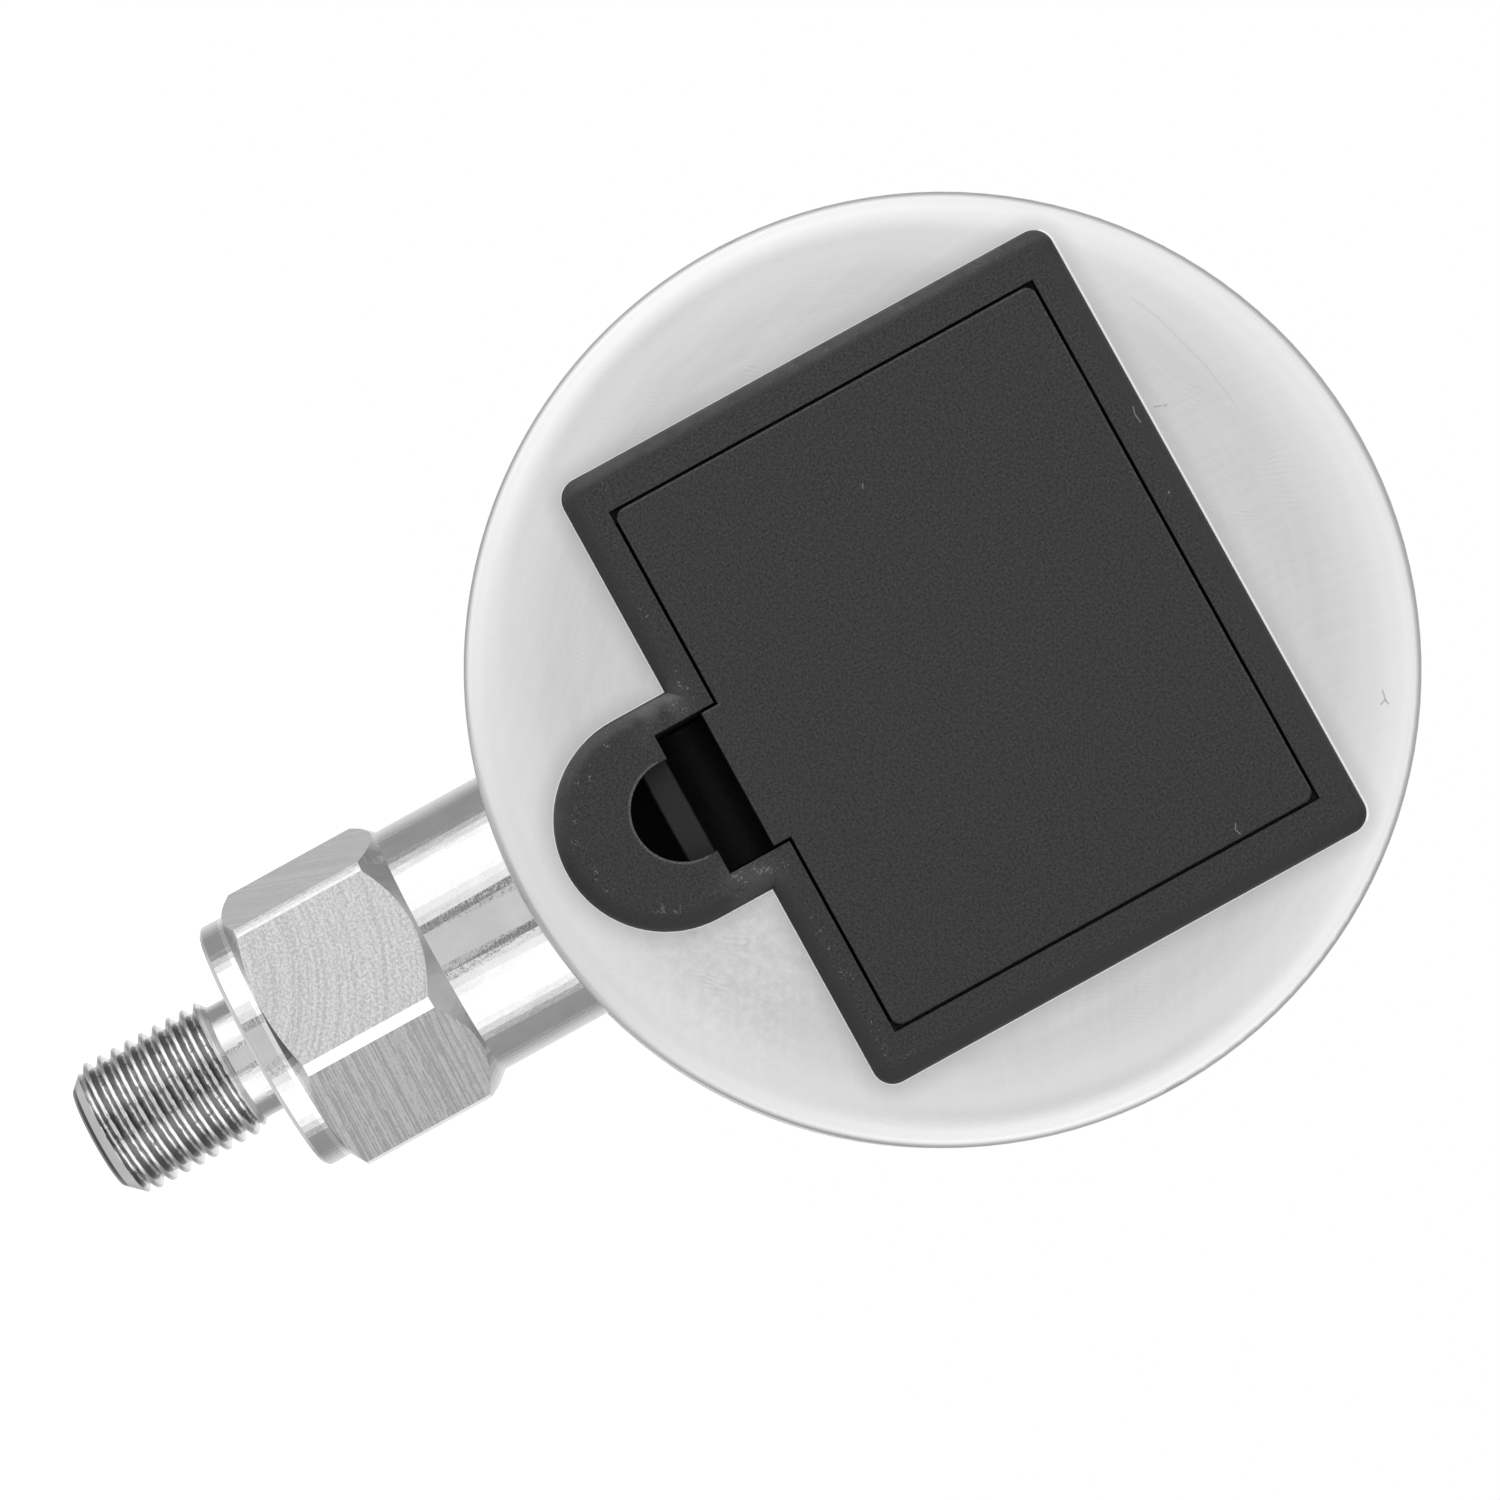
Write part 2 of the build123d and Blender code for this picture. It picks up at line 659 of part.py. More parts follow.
# Gasket between the case's open edge and the panel
with BuildPart() as panel_gasket:
    with BuildSketch(facing(rim_y)):
        with Locations((0, case_height)):
            Circle(case_radius)
            Circle(case_radius - gasket_width, mode=Mode.SUBTRACT)
    extrude(amount=gasket_thickness)
save(panel_gasket, "panel_gasket")

# Front panel: a moulded disc with a raised middle, the display's opening, key holes and bosses
with BuildPart() as front_panel:
    with BuildSketch(facing(panel_rear_y)):
        with Locations((0, case_height)):
            Circle(case_radius)
    extrude(amount=panel_thickness)
    with BuildSketch(facing(panel_front_y)):
        with Locations((0, case_height)):
            Circle(bezel_window_radius - loose_gap)
    extrude(amount=plateau_height)
    chamfer(front_panel.faces().sort_by(Axis.Y)[0].edges(), plateau_height / 3)
    with BuildSketch(facing(plateau_y)):
        with Locations((0, display_middle)):
            RectangleRounded(lens_width, lens_height, lens_corner_radius)
    extrude(amount=-lens_thickness, mode=Mode.SUBTRACT)
    with BuildSketch(facing(lens_rear_y)):
        with Locations((0, display_middle)):
            RectangleRounded(opening_width, opening_height, lens_corner_radius / 2)
    extrude(amount=lens_rear_y - panel_rear_y, mode=Mode.SUBTRACT)
    with BuildSketch(facing(plateau_y)):
        with Locations(*[(x, button_row) for x in button_places.values()]):
            SlotOverall(button_length + 2 * button_gap, button_width + 2 * button_gap)
    extrude(amount=plateau_y - panel_rear_y, mode=Mode.SUBTRACT)
    with BuildSketch(facing(panel_rear_y)):
        with Locations(*boss_places):
            Circle(boss_radius)
    extrude(amount=-board_spacing)
    with BuildSketch(facing(board_front_y)):
        with Locations(*boss_places):
            Circle(screw_radius + fit_gap)
    extrude(amount=screw_length - board_thickness + loose_gap, mode=Mode.SUBTRACT)
save(front_panel, "front_panel")

# Clear lens that drops into the panel from the front
with BuildPart() as display_lens:
    with BuildSketch(facing(lens_rear_y)):
        with Locations((0, display_middle)):
            RectangleRounded(
                lens_width - running_gap, lens_height - running_gap, lens_corner_radius - running_gap / 2
            )
    extrude(amount=lens_thickness)
save(display_lens, "display_lens")

# Display: the glass, the moulding that holds it, its backlight and two rubber contact strips
with BuildPart() as display_holder:
    with BuildSketch(facing(board_front_y)):
        with Locations((0, display_middle)):
            RectangleRounded(holder_width, holder_height, holder_wall)
    extrude(amount=board_spacing)
    with BuildSketch(facing(board_front_y)):
        with Locations((0, display_middle)):
            Rectangle(display_width + 2 * running_gap, display_height + 2 * running_gap)
    extrude(amount=board_spacing - holder_lip, mode=Mode.SUBTRACT)
    with BuildSketch(facing(glass_front_y)):
        with Locations((0, display_middle)):
            Rectangle(opening_width, opening_height)
    extrude(amount=holder_lip, mode=Mode.SUBTRACT)
save(display_holder, "display_holder")

with BuildPart() as display_glass_cell:
    with BuildSketch(facing(glass_rear_y)):
        with Locations((0, display_middle)):
            Rectangle(display_width, display_height)
    extrude(amount=display_glass)
save(display_glass_cell, "display_glass_cell")

zebra_z = display_height / 2 - zebra_width / 2
for name, side in (("contact_strip_upper", 1), ("contact_strip_lower", -1)):
    with BuildPart() as contact_strip:
        with BuildSketch(facing(glass_rear_y)):
            with Locations((0, display_middle + side * zebra_z)):
                Rectangle(zebra_length, zebra_width)
        extrude(amount=glass_rear_y - board_front_y)
    save(contact_strip, name)

with BuildPart() as display_backlight:
    with BuildSketch(facing(glass_rear_y)):
        with Locations((0, display_middle)):
            Rectangle(
                display_width - 2 * backlight_margin,
                display_height - 2 * (zebra_width + backlight_margin),
            )
    extrude(amount=glass_rear_y - board_front_y)
save(display_backlight, "display_backlight")

# Circuit board: a disc with a straight edge above the stem
with BuildPart() as circuit_board:
    with BuildSketch(facing(board_rear_y)):
        with Locations((0, case_height)):
            Circle(board_radius)
        with Locations((0, case_height + board_radius - board_flat)):
            Rectangle(2 * board_radius, 2 * board_radius, mode=Mode.INTERSECT)
        with Locations(*boss_places):
            Circle(screw_radius + running_gap, mode=Mode.SUBTRACT)
    extrude(amount=board_thickness)
save(circuit_board, "circuit_board")

# Four like screws that hold the board on the panel's bosses
with BuildPart() as board_screws:
    with BuildSketch(facing(board_rear_y)):
        with Locations(*boss_places):
            Circle(screw_head_radius)
    extrude(amount=-screw_head_height)
    chamfer(board_screws.faces().sort_by(Axis.Y)[-len(boss_places):].edges(), screw_head_height / 3)
    with BuildSketch(facing(board_rear_y)):
        with Locations(*boss_places):
            Circle(screw_radius)
    extrude(amount=screw_length)
    with BuildSketch(facing(board_rear_y + screw_head_height)):
        with Locations(*boss_places):
            Rectangle(screw_head_radius, screw_head_height / 3)
            Rectangle(screw_head_height / 3, screw_head_radius)
    extrude(amount=screw_head_height / 2, mode=Mode.SUBTRACT)
save(board_screws, "board_screws")

# Chips and the power capacitor on the rear of the board
chip_row = case_height - board_flat / 2
with BuildPart() as processor_chip:
    with BuildSketch(facing(board_rear_y)):
        with Locations((-board_flat / 2, chip_row)):
            Rectangle(chip_size, chip_size)
    extrude(amount=-chip_height)
save(processor_chip, "processor_chip")

with BuildPart() as converter_chip:
    with BuildSketch(facing(board_rear_y)):
        with Locations((0, chip_row)):
            Rectangle(small_chip_width, small_chip_length)
    extrude(amount=-chip_height)
save(converter_chip, "converter_chip")

with BuildPart() as power_capacitor:
    with BuildSketch(facing(board_rear_y)):
        with Locations((board_flat / 2, chip_row)):
            Circle(capacitor_radius)
    extrude(amount=-capacitor_height)
    chamfer(power_capacitor.faces().sort_by(Axis.Y)[-1].edges(), capacitor_radius / 6)
save(power_capacitor, "power_capacitor")

# Socket for the sensor's ribbon, at the board's straight edge
socket_bottom = case_height - board_flat + 2 * loose_gap
with BuildPart() as ribbon_socket:
    with BuildSketch(facing(board_rear_y)):
        with Locations((0, socket_bottom + socket_height / 2)):
            Rectangle(socket_width, socket_height)
    extrude(amount=-socket_depth)
    with BuildSketch(Plane.XY.offset(socket_bottom)):
        with Locations((0, board_rear_y + socket_depth / 2)):
            Rectangle(ribbon_width + loose_gap, ribbon_thickness + loose_gap)
    extrude(amount=socket_height - loose_gap, mode=Mode.SUBTRACT)
save(ribbon_socket, "ribbon_socket")

# Flat ribbon from the sensor's pins, round two bends and into the socket
ribbon_start = retainer_seat + sensor_header_height + sensor_pin_length
ribbon_end_y = board_rear_y + socket_depth / 2
ribbon_turn = (ribbon_start + spigot_top) / 2
with BuildPart() as sensor_ribbon:
    with BuildSketch(Plane.YZ):
        with BuildLine():
            FilletPolyline(
                (0, ribbon_start),
                (0, ribbon_turn),
                (ribbon_end_y, spigot_top + ribbon_bend / 2),
                (ribbon_end_y, socket_bottom + socket_height - 2 * loose_gap),
                radius=ribbon_bend,
            )
        trace(line_width=ribbon_thickness)
    extrude(amount=ribbon_width / 2, both=True)
save(sensor_ribbon, "sensor_ribbon")

# Keys: a push button, the plunger it rests on, and the switch body on the board
switch_bore_depth = plunger_stand_out + 2 * button_travel
for place, button_x in button_places.items():
    with BuildPart() as push_button:
        with BuildSketch(facing(panel_rear_y + running_gap)):
            with Locations((button_x, button_row)):
                SlotOverall(button_length, button_width)
        extrude(amount=panel_rear_y + running_gap - plateau_y + button_stand_out)
        fillet(push_button.faces().sort_by(Axis.Y)[0].edges(), button_edge_radius)
        with BuildSketch(facing(panel_rear_y + running_gap)):
            with Locations((button_x, button_row)):
                SlotOverall(button_length + 2 * button_flange, button_width + 2 * button_flange)
        extrude(amount=-button_flange_thickness)
        with BuildSketch(facing(plunger_front_y)):
            with Locations((button_x, button_row)):
                Circle(button_stem_radius)
        extrude(amount=plunger_front_y - panel_rear_y - running_gap)
    save(push_button, f"push_button_{place}")

    with BuildPart() as switch_plunger:
        with BuildSketch(facing(switch_front_y + 0.5 * button_travel)):
            with Locations((button_x, button_row)):
                Circle(plunger_radius)
        extrude(amount=plunger_stand_out + 0.5 * button_travel)
    save(switch_plunger, f"switch_plunger_{place}")

    with BuildPart() as key_switch:
        with BuildSketch(facing(board_front_y)):
            with Locations((button_x, button_row)):
                Rectangle(switch_size, switch_size)
        extrude(amount=switch_height)
        with BuildSketch(facing(switch_front_y)):
            with Locations((button_x, button_row)):
                Circle(plunger_radius + fit_gap)
        extrude(amount=-switch_bore_depth, mode=Mode.SUBTRACT)
    save(key_switch, f"key_switch_{place}")
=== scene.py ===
# %% [markdown]
# # A digital pressure gauge, seen from its battery door
# The gauge has a drawn stainless case with a turned stem below it and a moulded battery box let into its
# back. The CAD model comes in as a frame, so every part already has its place. This lesson gives the parts
# their finish, and makes in Blender what the frame leaves plain: the screw thread, the contact springs and
# the digits of the display.

# %% Load the frame
import json
import math

import bmesh
import bpy
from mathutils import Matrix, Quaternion, Vector

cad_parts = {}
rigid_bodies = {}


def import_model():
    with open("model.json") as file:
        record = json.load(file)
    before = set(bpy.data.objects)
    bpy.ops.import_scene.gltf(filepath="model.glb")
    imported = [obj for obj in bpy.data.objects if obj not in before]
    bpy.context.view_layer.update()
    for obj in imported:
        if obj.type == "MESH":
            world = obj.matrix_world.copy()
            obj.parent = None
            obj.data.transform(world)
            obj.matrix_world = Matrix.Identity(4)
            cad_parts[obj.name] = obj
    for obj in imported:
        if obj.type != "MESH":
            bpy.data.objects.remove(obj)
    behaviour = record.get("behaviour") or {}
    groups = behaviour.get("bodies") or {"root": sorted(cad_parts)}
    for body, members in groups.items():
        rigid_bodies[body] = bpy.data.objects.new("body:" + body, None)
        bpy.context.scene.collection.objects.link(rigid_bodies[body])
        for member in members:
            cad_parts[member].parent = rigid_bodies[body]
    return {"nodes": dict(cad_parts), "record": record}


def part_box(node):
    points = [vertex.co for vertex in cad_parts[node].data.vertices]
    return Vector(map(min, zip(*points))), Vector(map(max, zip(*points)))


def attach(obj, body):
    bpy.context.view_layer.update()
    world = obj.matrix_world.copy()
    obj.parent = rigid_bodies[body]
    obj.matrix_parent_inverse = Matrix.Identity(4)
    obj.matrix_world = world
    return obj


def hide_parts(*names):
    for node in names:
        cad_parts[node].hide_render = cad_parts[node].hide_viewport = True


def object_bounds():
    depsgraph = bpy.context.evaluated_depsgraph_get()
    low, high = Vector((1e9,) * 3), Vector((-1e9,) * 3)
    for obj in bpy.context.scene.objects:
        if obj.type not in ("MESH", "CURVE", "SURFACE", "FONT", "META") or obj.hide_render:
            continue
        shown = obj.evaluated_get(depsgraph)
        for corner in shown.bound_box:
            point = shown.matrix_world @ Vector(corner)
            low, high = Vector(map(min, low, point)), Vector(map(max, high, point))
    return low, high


for leftover in list(bpy.data.objects):
    bpy.data.objects.remove(leftover)
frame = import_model()
parts = frame["nodes"]
cad_low, cad_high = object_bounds()
mm = 0.001
print("CAD nodes", len(parts), "box in mm", [round(v / mm, 1) for v in (*cad_low, *cad_high)])

# %% [markdown]
# ## Shader maths as Python
# A material that varies over a surface is a sum of small patterns, and dozens of Math nodes are hard to
# read. So one class wraps a node's output and lets `+`, `*` and the rest add the Math nodes. A comparison
# such as `x > 3` gives 1 or 0, so it works as a mask, and masks are joined by `*` or by `largest`. The
# other class wraps a node tree and has one method that adds any node. Both work for materials, for the
# world and for Geometry Nodes.

# %% Node trees written as expressions


class Wire:
    """A node's output that can be used in a Python expression."""

    def __init__(self, graph, socket):
        self.graph = graph
        self.socket = socket

    def math(self, operation, *others):
        """A Math node that works on this wire and the others."""
        return self.graph.node("ShaderNodeMath", {"operation": operation}, (self, *others))

    def __add__(self, other):
        return self.math("ADD", other)

    def __sub__(self, other):
        return self.math("SUBTRACT", other)

    def __rsub__(self, other):
        return self.math("MULTIPLY", -1.0).math("ADD", other)

    def __mul__(self, other):
        return self.math("MULTIPLY", other)

    def __truediv__(self, other):
        return self.math("DIVIDE", other)

    def __gt__(self, other):
        return self.math("GREATER_THAN", other)

    def __lt__(self, other):
        return self.math("LESS_THAN", other)

    def __abs__(self):
        return self.math("ABSOLUTE")

    __radd__ = __add__
    __rmul__ = __mul__

    def smallest(self, other):
        return self.math("MINIMUM", other)

    def largest(self, other):
        return self.math("MAXIMUM", other)

    def between(self, start, end, low=0.0, high=1.0, soft=True):
        """Goes from low to high as the value goes from start to end."""
        kind = "SMOOTHSTEP" if soft else "LINEAR"
        settings = {"interpolation_type": kind, "clamp": True}
        return self.graph.node("ShaderNodeMapRange", settings, (self, start, end, low, high))


def fill_ramp(stops, plan):
    """Sets a ramp's stops, each given by its place from 0 to 1 and its grey level."""
    for number, (place, level) in enumerate(plan):
        stop = stops[number] if number < 2 else stops.new(place)
        stop.position = place
        stop.color = grey(level)


class Graph:
    """A node tree whose nodes are added by one method."""

    def __init__(self, tree):
        self.tree = tree
        tree.nodes.clear()

    def node(self, kind, settings=None, values=(), output=0):
        """Adds a node: its settings first, then its inputs by order or by name. Gives one output."""
        made = self.tree.nodes.new(kind)
        for name, setting in (settings or {}).items():
            if name == "stops":
                fill_ramp(made.color_ramp.elements, setting)
            else:
                setattr(made, name, setting)
        pairs = values.items() if isinstance(values, dict) else enumerate(values)
        for key, value in pairs:
            socket = made.inputs[key]
            if isinstance(value, Wire):
                self.tree.links.new(value.socket, socket)
            else:
                socket.default_value = value
        return Wire(self, made.outputs[output]) if len(made.outputs) else made

    def other(self, wire, name):
        """Another output of the node that this wire comes from."""
        return Wire(self, wire.socket.node.outputs[name])

    def split(self, vector):
        """The three numbers of a vector or a colour."""
        first = self.node("ShaderNodeSeparateXYZ", None, (vector,))
        return [first, self.other(first, 1), self.other(first, 2)]

    def join(self, x, y, z):
        return self.node("ShaderNodeCombineXYZ", None, (x, y, z))

    def place(self):
        """The point on the surface in the object's own millimetres."""
        spot = self.node("ShaderNodeTexCoord", output="Object")
        return self.node("ShaderNodeVectorMath", {"operation": "SCALE"}, {0: spot, "Scale": 1 / mm})

    def noise(self, vector, scale, detail=2.0, roughness=0.5):
        values = {"Vector": vector, "Scale": scale, "Detail": detail, "Roughness": roughness}
        return self.node("ShaderNodeTexNoise", None, values)

    def mix(self, factor, one, other):
        """A colour between two colours."""
        values = {0: factor, 6: one, 7: other}
        return self.node("ShaderNodeMix", {"data_type": "RGBA"}, values, output=2)


def grey(value):
    """A colour with its opacity."""
    return (value, value, value, 1.0)


def hypotenuse(one, other):
    """The distance to a point that lies this far along and that far across."""
    return (one * one + other * other).math("SQRT")


print("node classes ready")

# %% [markdown]
# ## From patterns to a finish
# Every finish here ends in the same way: a Principled shader whose colour, roughness and bump come from the
# patterns, while the numbers that stay the same all over are set on the shader itself. A helper does that
# ending, so each finish below is only its patterns. A second helper makes a material of each such function
# and keeps it under its name.

# %% Helpers for the finishes


def close_finish(graph, colour, roughness, height=None, bump=0.1, metallic=0.0, facing=None, **constants):
    """Adds the shader and the output to a material's graph."""
    values = {"Base Color": colour, "Roughness": roughness, "Metallic": metallic}
    if height is not None:
        bump_values = {"Strength": bump, "Distance": mm, "Height": height}
        if facing is not None:
            bump_values["Normal"] = facing
        values["Normal"] = graph.node("ShaderNodeBump", None, bump_values)
    for name, value in constants.items():
        values[name.replace("_", " ")] = value
    shader = graph.node("ShaderNodeBsdfPrincipled", None, values)
    graph.node("ShaderNodeOutputMaterial", None, {"Surface": shader})


finishes = {}


def finish(name):
    """Registers a function that fills a material's graph, and makes the material."""

    def make(fill):
        material = bpy.data.materials.new(name)
        material.use_nodes = True
        fill(Graph(material.node_tree))
        finishes[name] = material
        print("finish", name, len(material.node_tree.nodes), "nodes")
        return fill

    return make


print("finish helpers ready")

# %% [markdown]
# ## Sizes taken from the frame
# The patterns have to sit on the real edges, such as the dust along the frame's edge. Their places are
# worked out in millimetres from the boxes of the CAD nodes. What a box doesn't tell, such as the width of a
# gap, is repeated from the CAD source. First come the round case and the battery frame on its back.

# %% Sizes of the case and the battery frame


def box_mm(name):
    """The two corners of a CAD node's box in millimetres."""
    low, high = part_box(name)
    return low / mm, high / mm


case_low, case_high = box_mm("case_shell")
box_low, box_high = box_mm("battery_box")
door_half_width = box_mm("battery_door")[1].x
case_radius = (case_high.x - case_low.x) / 2
case_middle = (case_high.z + case_low.z) / 2
case_back = case_high.y
frame_half_width = box_high.x
frame_top = box_high.z
frame_face = box_high.y
end_rail = 3.5
bay_height = 44.8
frame_bottom = frame_top - 2 * end_rail - bay_height
bay_low = frame_bottom + end_rail
frame_corner = 2.0
door_gap = 0.3
door_bottom = bay_low + door_gap
door_top = frame_top - end_rail - door_gap
tongue_length = 1.77
slot_length = 4.8
tongue_half_width = 7.0
slot_high = door_bottom - tongue_length
slot_low = slot_high - slot_length
notch_radius = 4.85
notch_middle = slot_low - 0.95
tab_radius = 10.4
tab_middle = box_low.z + tab_radius
print("case radius", round(case_radius, 2), "middle", round(case_middle, 2))
print("battery frame", round(frame_bottom, 2), round(frame_top, 2), "tab", round(tab_middle, 2))

# %% [markdown]
# The stem stands on the origin: its collar starts at a height of 0, the hexagon follows above it, and the
# thread hangs below, with a relief groove under the collar and a chamfer at the tip.

# %% Sizes of the stem
stem_foot = box_mm("pressure_connector")[0].z
collar_height = 2.6
hex_height = 16.85
hex_top = collar_height + hex_height
hex_flat_radius = 13.3
hex_turn = math.radians(13.6)
bar_radius = 15.0
thread_radius = 7.0
thread_pitch = 1.5
relief_radius = 6.05
relief_length = 2.9
runout_length = 0.85
tip_radius = 5.2
tip_chamfer = 1.9
port_radius = 2.5
print("stem from", round(stem_foot, 2), "hexagon up to", round(hex_top, 2))

# %% [markdown]
# ## Camera
# The gauge was photographed from straight behind, turned by about 61 degrees in the picture, from about
# half a metre away. The nearer the camera, the more the back of the case grows against the stem, so the
# distance was settled by how much smaller the stem looks than it should. A long lens then fills the
# picture.

# %% Place the camera
camera_place = Vector((-15.45, 514.07, 49.32)) * mm
camera_target = Vector((2.57, 0.0, 54.83)) * mm
camera_roll = math.radians(61.2)
picture_width = 1500
picture_focal_length = 5339
sensor_width = 36.0

camera_data = bpy.data.cameras.new("camera")
camera_data.sensor_width = sensor_width
camera_data.lens = sensor_width * picture_focal_length / picture_width
camera = bpy.data.objects.new("camera", camera_data)
bpy.context.scene.collection.objects.link(camera)
sight = camera_target - camera_place
camera.location = camera_place
camera.rotation_mode = "QUATERNION"
camera.rotation_quaternion = sight.to_track_quat("-Z", "Y") @ Quaternion((0, 0, 1), camera_roll)
bpy.context.scene.camera = camera
print("camera lens", round(camera_data.lens, 1), "mm")

# %% [markdown]
# ## What the steel mirrors
# Bare metal shows little but what stands round it. In the photograph the stem shows, from its middle
# outwards, a grey strip, a thin dark line, a wide white band, a grey one and a light edge: a dim gap round
# the lens, then large white screens, then the dimmer room, then the white paper behind. The brightness was
# read across the neck, and since a cylinder mirrors each direction at a known place, it gives the light for
# each angle from the camera's axis. High above and below, where the screens end, lies a dim seam and past
# it plain paper, which is brighter below. These rings are for mirrored rays only.

# %% Rings of light round the camera's axis
ring_stops = [
    (0.0, 0.52),
    (17.0, 0.52),
    (19.5, 0.08),
    (23.0, 0.08),
    (26.0, 0.68),
    (36.0, 0.80),
    (46.0, 1.0),
    (74.0, 1.0),
    (82.0, 0.75),
    (90.0, 0.50),
    (97.0, 0.27),
    (126.0, 0.25),
    (138.0, 0.38),
    (150.0, 0.50),
    (180.0, 0.58),
]
screen_level = 1.6
gap_starts, gap_ends, gap_fill = (17.0, 19.5), (26.0, 23.0), 0.45
seam_above, seam_below, seam_shade = (0.86, 0.94), (-0.70, -0.79), 0.85
seam_half_width, seam_front = (0.40, 0.15), (0.10, 0.28)
paper_above, paper_extra_below = 0.45, 0.27


def ring_light(graph, direction):
    """The light that mirrored rays find in this direction."""
    values = {0: direction, 1: (0, 1, 0)}
    along = graph.node("ShaderNodeVectorMath", {"operation": "DOT_PRODUCT"}, values, "Value")
    angle = along.math("ARCCOSINE") / math.pi
    stops = [(degrees / 180.0, level) for degrees, level in ring_stops]
    ramp = graph.node("ShaderNodeValToRGB", {"stops": stops}, (angle,), "Color")
    side, front, up = graph.split(direction)
    degrees = angle * 180.0
    lens_gap = degrees.between(*gap_starts) * degrees.between(*gap_ends)
    away = abs(up)
    level = ramp + lens_gap * away.between(0.08, 0.22) * gap_fill
    seam = away.between(*seam_above).largest(up.between(*seam_below))
    seam = seam * abs(side).between(*seam_half_width) * front.between(*seam_front)
    level = level * screen_level * (1.0 - away.between(0.15, 0.60) * 0.20) * (1.0 - seam * seam_shade)
    beyond = away.between(0.55, 0.90) * front.between(0.35, 0.10)
    paper_level = paper_above + (up < 0.0) * paper_extra_below
    return level * (1.0 - beyond) + beyond * paper_level


def ray_kinds(graph):
    """Two masks: rays that show the background, straight or through glass, and mirrored rays."""
    seen = graph.node("ShaderNodeLightPath", output="Is Camera Ray")
    through = graph.node("ShaderNodeLightPath", output="Is Transmission Ray")
    mirrored = graph.node("ShaderNodeLightPath", output="Is Glossy Ray")
    return (seen + through).smallest(1.0), mirrored


print("rings", len(ring_stops))

# %% [markdown]
# ## Floor
# The floor is plain and pale. For the camera it glows a little, so that it reads as white, but part of its
# brightness is still light that falls on it, and that part is what shows the gauge's soft shadow. Mirrored
# rays that meet the floor get the same rings as those that miss it, by their direction from the gauge.

# %% Make the floor
floor_drop = 42.0
floor_size = 6.0
floor_glow = 0.76
paper_shade = 0.50

gauge_middle = Vector((0, 0, case_middle / 2))
floor_mesh = bpy.data.meshes.new("floor")
half = floor_size / 2
floor_z = cad_low.z - floor_drop * mm
corners = [(-half, -half, floor_z), (half, -half, floor_z), (half, half, floor_z), (-half, half, floor_z)]
floor_mesh.from_pydata(corners, [], [(0, 1, 2, 3)])
floor = bpy.data.objects.new("floor", floor_mesh)
bpy.context.scene.collection.objects.link(floor)


@finish("floor_paper")
def floor_paper(graph):
    seen, mirrored = ray_kinds(graph)
    paper = graph.node("ShaderNodeBsdfDiffuse", None, {"Color": grey(paper_shade)})
    light = graph.node("ShaderNodeEmission", None, {"Color": grey(1.0), "Strength": seen * floor_glow})
    both = graph.node("ShaderNodeAddShader", None, (paper, light))
    ends = (graph.place(), gauge_middle)
    from_gauge = graph.node("ShaderNodeVectorMath", {"operation": "SUBTRACT"}, ends)
    direction = graph.node("ShaderNodeVectorMath", {"operation": "NORMALIZE"}, (from_gauge,))
    rings = graph.node("ShaderNodeEmission", None, {"Color": ring_light(graph, direction)})
    surface = graph.node("ShaderNodeMixShader", None, (mirrored, both, rings))
    graph.node("ShaderNodeOutputMaterial", None, {"Surface": surface})


floor_mesh.materials.append(finishes["floor_paper"])

# %% [markdown]
# ## Light
# The world shows the rings to mirrored rays. Other rays see an even, dimmer white, and the camera itself
# sees plain white.

# %% Build the studio in the world
room_level = 0.52
world = bpy.data.worlds.new("studio")
bpy.context.scene.world = world
world.use_nodes = True
sky = Graph(world.node_tree)
rings = ring_light(sky, sky.node("ShaderNodeTexCoord", output="Generated"))
seen, mirrored = ray_kinds(sky)
room = sky.mix(mirrored, grey(room_level), rings)
backdrop = sky.mix(seen, room, grey(1.0))
background = sky.node("ShaderNodeBackground", None, {"Color": backdrop, "Strength": 1.0})
sky.node("ShaderNodeOutputWorld", None, {"Surface": background})
bpy.context.scene.view_settings.view_transform = "Standard"
print("studio", len(world.node_tree.nodes), "nodes")

# %% [markdown]
# Two soft lamps give the plastic its shape: a key light from above the battery door and a weaker one from
# the display's side, so that neither face lies in the dark. They are kept out of mirrored rays, which the
# world already serves. A plan gives a lamp's place in millimetres, its width in metres and its power in
# watts.

# %% Hang the lamps
lamp_plans = {
    "key_lamp": ((620, 420, 260), 0.50, 4.2),
    "display_lamp": ((-260, -620, 420), 0.60, 2.6),
}
for name, (place, size, power) in lamp_plans.items():
    lamp = bpy.data.lights.new(name, "AREA")
    lamp.size = size
    lamp.energy = power
    lamp_object = bpy.data.objects.new(name, lamp)
    bpy.context.scene.collection.objects.link(lamp_object)
    lamp_object.location = Vector(place) * mm
    aim = Vector((0, 0, case_middle)) * mm - lamp_object.location
    lamp_object.rotation_mode = "QUATERNION"
    lamp_object.rotation_quaternion = aim.to_track_quat("-Z", "Y")
    lamp_object.visible_glossy = False
print("lamps", list(lamp_plans))

# %% [markdown]
# ## Outline of the battery frame
# Dust, wear and shade follow the outline of the battery box, which is a rectangle with round corners and a
# round tab below it. The distance to such an outline has a short formula for each of the two shapes, and
# the nearer of both counts. It is above zero inside the outline, so its negative tells how far a point of
# the steel is from the box.

# %% Distance to the frame's outline


